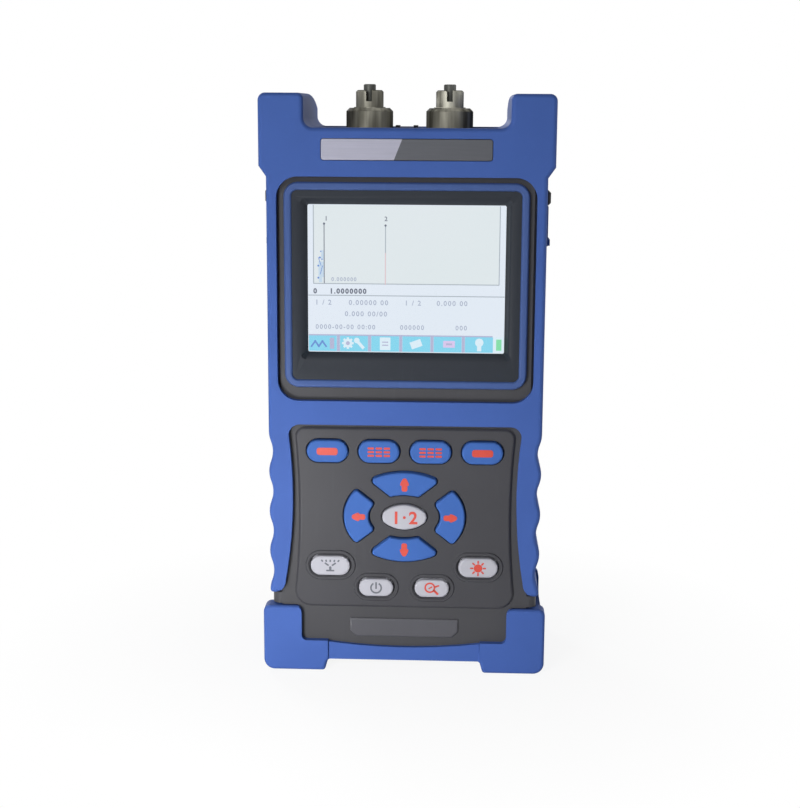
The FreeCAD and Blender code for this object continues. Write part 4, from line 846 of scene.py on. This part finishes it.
# ---- sub-assemblies
@dataclass
class Housing:
    """The dark casing, the blue rubber jacket and boot, and the plates on them."""

    angle: float = 35.0
    plate_angle: float = 50.0
    plate_edge: float = 0.00035
    lip: float = 0.0006

    def build(self) -> None:
        """Dresses the casing and its rubber."""
        moulding("front_casing", GREY_PLASTIC, "dark_plastic", self.angle)
        for node in ("rear_casing", "battery_door", "tilt_stand"):
            moulding(node, BACK_PLASTIC, "dark_plastic", self.angle)
        for node in ("upper_jacket", "lower_boot"):
            moulding(node, BLUE_RUBBER, "blue_rubber", self.angle, self.lip)
        for node in ("left_cover", "right_cover"):
            moulding(node, BLUE_COVER, "blue_rubber", self.angle)
        for node in ("left_cover_anchor", "right_cover_anchor", "deck_cover"):
            moulding(node, BLACK_RUBBER, "black_rubber", self.angle)
        moulding("nameplate", PLATE, "plate_metal", self.plate_angle, self.plate_edge, kind="piece")
        moulding("label_plate", LABEL_PLASTIC, "dark_plastic", self.plate_angle, self.plate_edge, kind="piece")


@dataclass(frozen=True)
class Mark:
    """What is printed on a key, in millimetres from the key's middle, and degrees."""

    ink: Ink
    rings: Rows = ()  # x, z, middle radius, line, start, sweep
    digits: tuple[tuple[str, float, float], ...] = ()  # text, left end, height
    arrow: float | None = None  # turn to the left of straight up
    bars: Rows = ()  # x, z, width, height, turn


RAY_REACH = 2.3
WORD = tuple((x, z, 2.3, 0.75) for x in (-2.9, 0, 2.9) for z in (-1.35, 0, 1.35))
MARKS: dict[str, Mark] = {
    "soft_key_1": Mark(RED_INK, bars=((0, 0, 7.6, 2.7),)),
    "soft_key_4": Mark(RED_INK, bars=((0, 0, 7.6, 2.7),)),
    "soft_key_2": Mark(RED_INK, bars=WORD),
    "soft_key_3": Mark(RED_INK, bars=WORD),
    "up_key": Mark(RED_INK, arrow=0),
    "left_key": Mark(RED_INK, arrow=90),
    "down_key": Mark(RED_INK, arrow=180),
    "right_key": Mark(RED_INK, arrow=270),
    "enter_key": Mark(RED_INK, digits=(("1", -4.6, 4.6), ("2", 1.6, 4.6)), bars=((0, 0, 1.0, 1.0),)),
    "power_key": Mark(DARK_INK, rings=((0, 0, 1.9, 0.6, 120, 300),), bars=((0, 0.9, 0.6, 2.6),)),
    "lamp_key": Mark(
        DARK_INK,
        bars=(
            *((0, -1.8, 3.0, 0.6), (0, -0.9, 0.9, 1.4), (-1.3, 0.6, 1.8, 0.6, -35), (1.3, 0.6, 1.8, 0.6, 35)),
            *((x, 1.9, 0.6, 0.9, turn) for x, turn in ((-3.0, 40), (-1.5, 15), (0, 0), (1.5, -15), (3.0, -40))),
        ),
    ),
    "brightness_key": Mark(
        RED_INK,
        rings=((0, 0, 0.8, 1.5, 0, 359),),
        bars=tuple(
            (RAY_REACH * math.cos(math.radians(ray)), RAY_REACH * math.sin(math.radians(ray)), 1.2, 0.6, ray)
            for ray in range(0, 360, 45)
        ),
    ),
    "laser_key": Mark(
        RED_INK,
        rings=((-0.7, 0.4, 1.7, 0.6, 0, 359),),
        bars=((1.5, -1.3, 2.4, 0.8, -45), (-0.5, 0.4, 1.6, 0.5, 30), (1.9, 1.0, 1.8, 0.6, 20)),
    ),
}


@dataclass
class Keypad:
    """Fascia, keys and the marks on the keys."""

    cap_edge: float = 0.00036
    cap_angle: float = 50.0
    fascia_angle: float = 30.0
    mark_rise: float = 0.00004
    mark_depth: float = 0.00006  # whole thickness of a mark, partly sunk in the key
    rib_rise: float = 0.00045  # of the ribs round the light keys, above the fascia
    well_edge: float = 0.0005
    bold: float = 0.00016  # thickening of the digits' strokes
    digit_steps: int = 4
    bar_corner: float = 0.35  # rounding of a bar, as a share of its lesser side
    bar_steps: int = 4
    arc_step: float = 12.0  # degrees to a facet of a ring
    arrow_head: Triple = (1.0, 3.8, 2.8)  # middle above the key's, width and height, in millimetres
    arrow_stem: Triple = (-1.2, 2.1, 2.6)
    arrow_point: float = 0.35  # width of the head's point, as a share of the head's
    arrow_lift: float = 0.3  # of the head in front of the stem, as a share of the rise
    blue: tuple[str, ...] = (
        *(f"soft_key_{number}" for number in range(1, 5)),
        *("up_key", "right_key", "down_key", "left_key"),
    )
    light: tuple[str, ...] = ("enter_key", "lamp_key", "brightness_key", "power_key", "laser_key")

    def build(self) -> None:
        """Builds the keypad."""
        rim = (self.well_edge, self.rib_rise)
        moulding("keypad_fascia", FASCIA_PLASTIC, "dark_plastic", self.fascia_angle, *rim)
        for node in self.blue:
            moulding(node, BLUE_KEY, "blue_key", self.cap_angle, self.cap_edge, kind="cap")
        for node in self.light:
            moulding(node, LIGHT_KEY, "light_key", self.cap_angle, self.cap_edge, kind="cap")
        dress(frame["nodes"]["dome_sheet"], STEEL)
        dress(frame["nodes"]["keypad_board"], SOCKET_PLASTIC)
        self._marks()

    def _spot(self, node: str, x: float = 0.0, z: float = 0.0) -> Vector:
        """A point on a key's face, in millimetres to the right of its middle and above it."""
        low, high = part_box(node)
        return Vector(((low[0] + high[0]) / 2 + x * MM, low[1], (low[2] + high[2]) / 2 + z * MM))

    def _bar(self, node: str, x: float, z: float, width: float, height: float, turn: float = 0.0) -> Piece:
        """A thin printed bar on a key.

        Args:
            node: The key.
            x: Its middle, to the right of the key's, in millimetres.
            z: The same, upwards.
            width: Its width in millimetres.
            height: Its height in millimetres.
            turn: Its turn in degrees, from level.

        Returns:
            The bar.
        """
        centre = self._spot(node, x, z) + Vector((0, -self.mark_rise / 2, 0))
        size = (width * MM, self.mark_depth, height * MM)
        bar = block(node + "_bar", centre, size, turn)
        open_with(
            bar, Element.EDGES, lambda edge: abs(edge.verts[0].co.y - edge.verts[1].co.y) > self.mark_rise
        )
        offset = min(width, height) * MM * self.bar_corner
        bpy.ops.mesh.bevel(offset=offset, segments=self.bar_steps, affect="EDGES", clamp_overlap=True)
        bpy.ops.object.mode_set(mode="OBJECT")
        return bar

    def _arrow(self, node: str, turn: float) -> list[Piece]:
        """A short printed arrow on a key.

        Args:
            node: The key.
            turn: The way it points, in degrees to the left of straight up.

        Returns:
            Its stem and its head.
        """
        head = self._bar(node, 0, *self.arrow_head)
        rise, _, height = self.arrow_head
        tip = self._spot(node, 0, rise + height / 2)
        for vertex in head.data.vertices:
            down = (tip.z - vertex.co.z) / (height * MM)
            taper = self.arrow_point + (1.0 - self.arrow_point) * down
            vertex.co.x = tip.x + (vertex.co.x - tip.x) * taper
            vertex.co.y -= self.mark_rise * self.arrow_lift
        pieces = [self._bar(node, 0, *self.arrow_stem), head]
        middle = Matrix.Translation(self._spot(node))
        spin = middle @ Matrix.Rotation(-math.radians(turn), 4, "Y") @ middle.inverted()
        for piece in pieces:
            piece.data.transform(spin)
        return pieces

    def _digit(self, node: str, text: str, x: float, size: float) -> Piece:
        """A bold printed digit on a key.

        Args:
            node: The key.
            text: The digit.
            x: Its left end, to the right of the key's middle, in millimetres.
            size: Its height in millimetres.

        Returns:
            The digit as a mesh.
        """
        place = self._spot(node, x, -size / 2) + Vector((0, -self.mark_rise / 4, 0))
        name = node + "_digit"
        return digits(name, text, place, size * MM, self.mark_depth / 2, self.bold, steps=self.digit_steps)

    def _ring(
        self, node: str, x: float, z: float, radius: float, line: float, start: float, sweep: float
    ) -> Piece:
        """A thin printed ring or arc on a key.

        Args:
            node: The key.
            x: Its middle, to the right of the key's, in millimetres.
            z: The same, upwards.
            radius: Its middle radius.
            line: Its line's width.
            start: Where it starts, in degrees from the right, anticlockwise.
            sweep: How far it runs.

        Returns:
            The ring.
        """
        centre = self._spot(node, x, z)
        begin = math.radians(start)
        way = Vector((math.cos(begin), 0, math.sin(begin)))
        size = (line * MM, self.mark_depth, THIN)
        place = centre + way * radius * MM + Vector((0, -self.mark_rise / 2, 0))
        ring = block(node + "_ring", place, size, start)
        ahead = Vector((-math.sin(begin), 0, math.cos(begin)))
        open_with(ring, Element.FACES, lambda face: face.normal.dot(ahead) > ALIGNED)
        steps = int(sweep / self.arc_step)
        bpy.ops.mesh.spin(steps=steps, angle=math.radians(sweep), center=centre, axis=(0, 1, 0))
        bpy.ops.mesh.select_all(action="SELECT")
        bpy.ops.mesh.remove_doubles(threshold=THIN / 10)
        bpy.ops.mesh.normals_make_consistent(inside=False)
        bpy.ops.object.mode_set(mode="OBJECT")
        return ring

    def _marks(self) -> None:
        """Prints every key's mark."""
        for node, mark in MARKS.items():
            pieces = [self._ring(node, *ring) for ring in mark.rings]
            pieces += [self._digit(node, *digit) for digit in mark.digits]
            if mark.arrow is not None:
                pieces += self._arrow(node, mark.arrow)
            pieces += [self._bar(node, *bar) for bar in mark.bars]
            finished(joined(node + "_mark", pieces), mark.ink, node)


@dataclass(frozen=True)
class Lines:
    """Shapes of one colour in the picture, in millimetres from its middle, and degrees."""

    name: str
    light: Lit
    patches: Rows = ()  # x, z, width, height, layer, turn
    dots: Rows = ()  # x, z, radius, layer
    digits: tuple[tuple[str | float, ...], ...] = ()  # text, left end, base line, height, spread, weight


BAR_Z = -23.35  # middle of the tool bar
BAR_LEFT = -34.9
TILE_PITCH = 11.2
GEAR_X = -20.9
ROW_1, ROW_2, ROW_3 = -9.4, -13.45, -18.15
PICTURE = (
    Lines("plot_area", LIT_PLOT, patches=((-0.1, 12.1, 65.9, 27.8, 1),)),
    Lines(
        "plot_frame",
        LIT_GREY,
        patches=(
            *((-33.1, 12.1, 0.3, 27.8), (32.9, 12.1, 0.3, 27.8), (-0.1, -1.83, 66.2, 0.3)),
            *((0, -6.05, 70.0, 0.3), (-7.5, 14.0, 0.3, 9.6)),
        ),
    ),
    Lines(
        "plot_cursors",
        LIT_DARK,
        patches=((-29.3, 8.8, 0.3, 21.2),),
        dots=((-29.3, 19.4, 0.4), (-7.5, 18.9, 0.4)),
        digits=(("1", -29.1, 20.5, 1.6), ("2", -7.9, 20.5, 1.6)),
    ),
    Lines("plot_marker", LIT_RED, patches=((-7.5, 3.6, 0.32, 11.4),)),
    Lines("plot_haze", LIT_PALE, ((-30.4, 3.2, 1.9, 5.6), (-29.9, 8.2, 0.9, 3.6), (-30.6, -0.5, 1.2, 1.8))),
    Lines(
        "plot_trace",
        LIT_BLUE,
        patches=((-30.9, 6.0, 0.25, 3.0, 3, 18), (-30.3, 3.0, 0.25, 3.2, 3, -14)),
        dots=(
            *((-31.4, 0.2, 0.35), (-31.4, 4.5, 0.35), (-30.8, 7.4, 0.35)),
            *((-30.1, 6.8, 0.25), (-30.5, 9.6, 0.25)),
        ),
    ),
    Lines(
        "readout_bold",
        LIT_DARK,
        digits=(("0", -33.2, -5.35, 1.8, 1.0, 0.1), ("1.0000000", -27.4, -5.35, 1.8, 1.25, 0.1)),
    ),
    Lines(
        "readout_rows",
        LIT_FAINT,
        digits=(
            ("0.000000", -26.8, -0.9, 1.4),
            ("1 / 2", -32.6, ROW_1, 1.8),
            ("0.00000 00", -20.6, ROW_1, 1.8),
            ("1 / 2", -0.6, ROW_1, 1.8),
            ("0.000 00", 10.8, ROW_1, 1.8),
            ("0.000 00/00", -22.0, ROW_2, 1.8),
            ("0000-00-00 00:00", -32.5, ROW_3, 1.7),
            ("000000", -2.2, ROW_3, 1.7),
            ("000", 17.6, ROW_3, 1.7),
        ),
    ),
    Lines(
        "toolbar_tiles",
        LIT_CYAN,
        patches=tuple((BAR_LEFT + TILE_PITCH * tile + 5.0, BAR_Z, 10.0, 5.6, 1) for tile in range(6)),
    ),
    Lines(
        "toolbar_lines",
        LIT_PINK,
        patches=(
            *((BAR_LEFT + TILE_PITCH * tile - 0.6, BAR_Z, 1.1, 5.6, 1) for tile in range(1, 6)),
            (-2.0, BAR_Z + 3.0, 65.8, 0.5, 1),
            (-26.6, BAR_Z, 1.6, 4.0),
        ),
    ),
    Lines(
        "toolbar_wave",
        LIT_BLUE,
        patches=tuple(
            (BAR_LEFT + 1.6 + stroke * 1.3, BAR_Z - 0.2, 0.6, 2.9, 2, lean)
            for stroke, lean in enumerate((-35, 35, -35, 35))
        ),
    ),
    Lines(
        "toolbar_white",
        LIT_WHITE,
        dots=((GEAR_X, BAR_Z + 0.1, 1.6, 2), (-17.7, BAR_Z + 1.1, 1.0, 2), (26.2, BAR_Z + 0.8, 1.5, 2)),
        patches=(
            *((GEAR_X, BAR_Z + 0.1, 4.2, 0.8, 2, 45 * tooth) for tooth in range(4)),
            (-16.6, BAR_Z - 0.2, 1.1, 4.2, 2, 42),
            (-7.5, BAR_Z, 3.8, 4.6),
            (3.6, BAR_Z, 4.0, 2.6, 2, 20),
            (26.2, BAR_Z - 1.0, 1.5, 2.6),
            (33.0, BAR_Z, 3.6, 5.6, 1),
        ),
    ),
    Lines("toolbar_rose", LIT_ROSE, patches=((15.4, BAR_Z + 0.1, 4.2, 2.4),)),
    Lines(
        "toolbar_ticks",
        LIT_PINK,
        dots=((GEAR_X, BAR_Z + 0.1, 0.7, 3),),
        patches=(
            (-7.5, BAR_Z + 0.6, 2.2, 0.4, 3),
            (-7.5, BAR_Z - 0.5, 2.2, 0.4, 3),
            (15.4, BAR_Z + 0.1, 2.2, 0.7, 3),
        ),
    ),
    Lines("toolbar_battery", LIT_GREEN, patches=((33.2, BAR_Z, 1.9, 4.0),)),
)


@dataclass
class Display:
    """Bezel, trim, window and the picture on the lit panel."""

    room: float = 0.00022  # from the front of the CAD panel back to the lit face
    thick: float = 0.00005  # of one layer of the picture
    patch_edge: float = 0.000008
    dot_edge: float = 0.00001
    text_layer: float = 1.5
    mould_angle: float = 50.0
    panel_edge: float = 0.0003
    front: float = field(init=False)
    middle: Vector = field(init=False)

    def build(self) -> None:
        """Builds the display."""
        moulding("screen_bezel", BEZEL_PLASTIC, "dark_plastic", self.mould_angle)
        moulding("screen_trim", BLUE_GLOSS, "blue_plastic", self.mould_angle)
        dress(frame["nodes"]["display_window"], CLEAR)
        low, high = (Vector(corner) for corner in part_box("display_panel"))
        self.front = low.y + self.room
        self.middle = (low + high) / 2
        low.y = self.front
        panel = block("lit_panel", (low + high) / 2, high - low)
        soften(panel, self.panel_edge, 2)
        smooth(panel)
        finished(panel, LIT_PAPER, "instrument", ("display_panel",))
        for lines in PICTURE:
            pieces = [self._patch(*patch) for patch in lines.patches]
            pieces += [self._dot(*dot) for dot in lines.dots]
            pieces += [self._digits(*row) for row in lines.digits]
            finished(joined(lines.name, pieces), lines.light, "instrument")

    def _point(self, x: float, z: float, layer: float) -> Vector:
        """A point of the picture, in millimetres from its middle and layers off the lit face."""
        return Vector((self.middle.x + x * MM, self.front - self.thick * layer, self.middle.z + z * MM))

    def _patch(
        self, x: float, z: float, width: float, height: float, layer: int = 2, turn: float = 0.0
    ) -> Piece:
        """A thin lit patch in front of the panel.

        Args:
            x: Its middle, in millimetres to the right of the picture's middle.
            z: The same, upwards.
            width: Its width.
            height: Its height.
            layer: Its layer, from 1.
            turn: Its turn in degrees.

        Returns:
            The patch.
        """
        size = (width * MM, self.thick, height * MM)
        patch = block("patch", self._point(x, z, layer - 0.5), size, turn)
        soften(patch, self.patch_edge, 1)
        return patch

    def _dot(self, x: float, z: float, radius: float, layer: int = 3) -> Piece:
        """A thin round lit patch.

        Args:
            x: Its middle, in millimetres to the right of the picture's middle.
            z: The same, upwards.
            radius: Its radius.
            layer: Its layer, from 1.

        Returns:
            The patch.
        """
        bpy.ops.object.select_all(action="DESELECT")
        bpy.ops.mesh.primitive_cylinder_add(
            vertices=DOT_SIDES,
            radius=radius * MM,
            depth=self.thick,
            location=self._point(x, z, layer - 0.5),
            rotation=FACING,
        )
        dot = settle(bpy.context.active_object, "dot")
        soften(dot, self.dot_edge, 1, DOT_CORNER)
        return dot

    def _digits(
        self, text: str, x: float, z: float, size: float, spread: float = 1.25, weight: float = 0.03
    ) -> Piece:
        """A row of digits, its left end and base line in millimetres from the picture's middle."""
        place = self._point(x, z, self.text_layer)
        return digits("digits", text, place, size * MM, self.thick * 2, weight * MM, spread)


@dataclass
class Ports:
    """The two optical ports on the deck and the metal under it."""

    turned_angle: float = 30.0

    def build(self) -> None:
        """Dresses the ports."""
        for number in (1, 2):
            for part, finish in (("barrel", ADAPTER), ("sleeve", FERRULE), ("ring", NICKEL)):
                moulding(f"port_{number}_{part}", finish, "nickel", self.turned_angle, kind="turned")
        for node in ("port_bracket", "stand_pins", "door_screw", "case_screws"):
            dress(frame["nodes"][node], STEEL)


@dataclass
class Inside:
    """Sockets, electronics and battery that only show when something is opened."""

    finishes: dict[str, Finish] = field(
        default_factory=lambda: {
            **dict.fromkeys(("data_socket", "charging_socket", "deck_socket"), SOCKET_PLASTIC),
            **dict.fromkeys(("battery_pack", "buzzer"), SOCKET_PLASTIC),
            "optical_module": STEEL,
            "main_board": Ink("board_green", paint(30, 92, 54)),
            "fibre_coil": Ink("fibre_yellow", paint(222, 190, 70)),
        }
    )

    def build(self) -> None:
        """Dresses the inner parts."""
        for node, finish in self.finishes.items():
            dress(frame["nodes"][node], finish)
            LOG.info("%s dressed", node)


@dataclass(frozen=True)
class Lamp:
    """A round soft lamp."""

    name: str
    place: Triple
    aim: Triple
    size: float
    power: float

    def build(self) -> None:
        """Hangs the lamp."""
        bpy.ops.object.light_add(type="AREA", location=self.place)
        lamp = bpy.context.active_object
        lamp.name = self.name
        lamp.data.shape = "DISK"
        lamp.data.size = self.size
        lamp.data.energy = self.power
        lamp.rotation_euler = (Vector(self.aim) - Vector(self.place)).to_track_quat("-Z", "Y").to_euler()


@dataclass
class Studio:
    """Floor, lamps, world and camera."""

    camera_place: Triple = (0.01955, -0.55347, 0.20457)
    camera_ahead: Triple = (-0.03983, 0.98042, -0.19286)
    camera_up: Triple = (-0.01347, 0.19255, 0.98122)
    lens: float = 66.83
    sensor: float = 36.0
    near: float = 0.01
    floor_size: float = 6.0
    floor_tone: float = 0.9
    shadow_reach: float = 0.05
    shadow_fade: float = 9.0  # how fast the floor's shadow gives way to white, in shares a metre
    shadow_veil: float = 0.9
    world_level: float = 0.17
    lamps: tuple[Lamp, ...] = (
        Lamp("key_lamp", (-0.1, -0.2, 0.026), (-0.03, -0.028, 0.024), 0.065, 0.31),
        Lamp("fill_lamp", (-0.45, -1.0, 0.5), (0, 0, 0.1), 0.35, 5.8),
        Lamp("side_lamp", (0.8, 0.2, 0.1), (0, 0, 0.1), 0.3, 1.6),
        Lamp("back_lamp", (-0.5, 0.8, 0.5), (0, 0, 0.1), 0.35, 4.0),
    )

    def build(self) -> None:
        """Sets up the studio."""
        self._floor()
        self._world()
        for lamp in self.lamps:
            lamp.build()
        self._camera()

    def _floor(self) -> None:
        """A pale floor that keeps the shadow and shows white to the camera."""
        bpy.ops.object.select_all(action="DESELECT")
        bpy.ops.mesh.primitive_plane_add(size=self.floor_size, location=(0, 0, 0))
        floor = settle(bpy.context.active_object, "studio_floor")
        tree = ShaderTree(bpy.data.materials.new("pale_floor"))
        matt = tree.surface({"Color": shade(WHITE, self.floor_tone)}, "ShaderNodeBsdfDiffuse")
        white = tree.surface({"Color": WHITE, "Strength": 1.0}, "ShaderNodeEmission")
        reach = tree.node("ShaderNodeVectorMath", {"operation": "LENGTH"}, {0: tree.place()}, "Value")
        far = reach.ramp(self.shadow_reach, self.shadow_fade)
        share = tree.seen_plainly() * (self.shadow_veil + far * (1.0 - self.shadow_veil))
        mix = tree.node("ShaderNodeMixShader", {}, {0: share, 1: matt, 2: white})
        floor.data.materials.append(tree.done(mix))

    def _world(self) -> None:
        """White surroundings at a plain level."""
        world = bpy.data.worlds.new("studio_world")
        bpy.context.scene.world = world
        tree = ShaderTree(world)
        soft = tree.surface({"Color": WHITE, "Strength": self.world_level}, "ShaderNodeBackground")
        white = tree.surface({"Color": WHITE, "Strength": 1.0}, "ShaderNodeBackground")
        mix = tree.node("ShaderNodeMixShader", {}, {0: tree.seen_plainly(), 1: soft, 2: white})
        tree.done(mix, "ShaderNodeOutputWorld")

    def _camera(self) -> None:
        """Puts the camera in place."""
        ahead = Vector(self.camera_ahead).normalized()
        up = Vector(self.camera_up).normalized()
        right = ahead.cross(up).normalized()
        up = right.cross(ahead)
        turn = Matrix((right, up, -ahead)).transposed().to_4x4()
        bpy.ops.object.camera_add()
        camera = bpy.context.active_object
        camera.name = "studio_camera"
        camera.matrix_world = Matrix.Translation(self.camera_place) @ turn
        camera.data.lens = self.lens
        camera.data.sensor_width = self.sensor
        camera.data.clip_start = self.near
        bpy.context.scene.camera = camera


def main() -> None:
    """Builds every sub-assembly in order."""
    logging.basicConfig(level=logging.INFO, format="%(name)s: %(message)s")
    bpy.context.scene.view_settings.view_transform = "Standard"
    for assembly in (Housing(), Display(), Keypad(), Ports(), Inside(), Studio()):
        LOG.info("building %s", type(assembly).__name__)
        assembly.build()


if __name__ == "__main__":
    main()
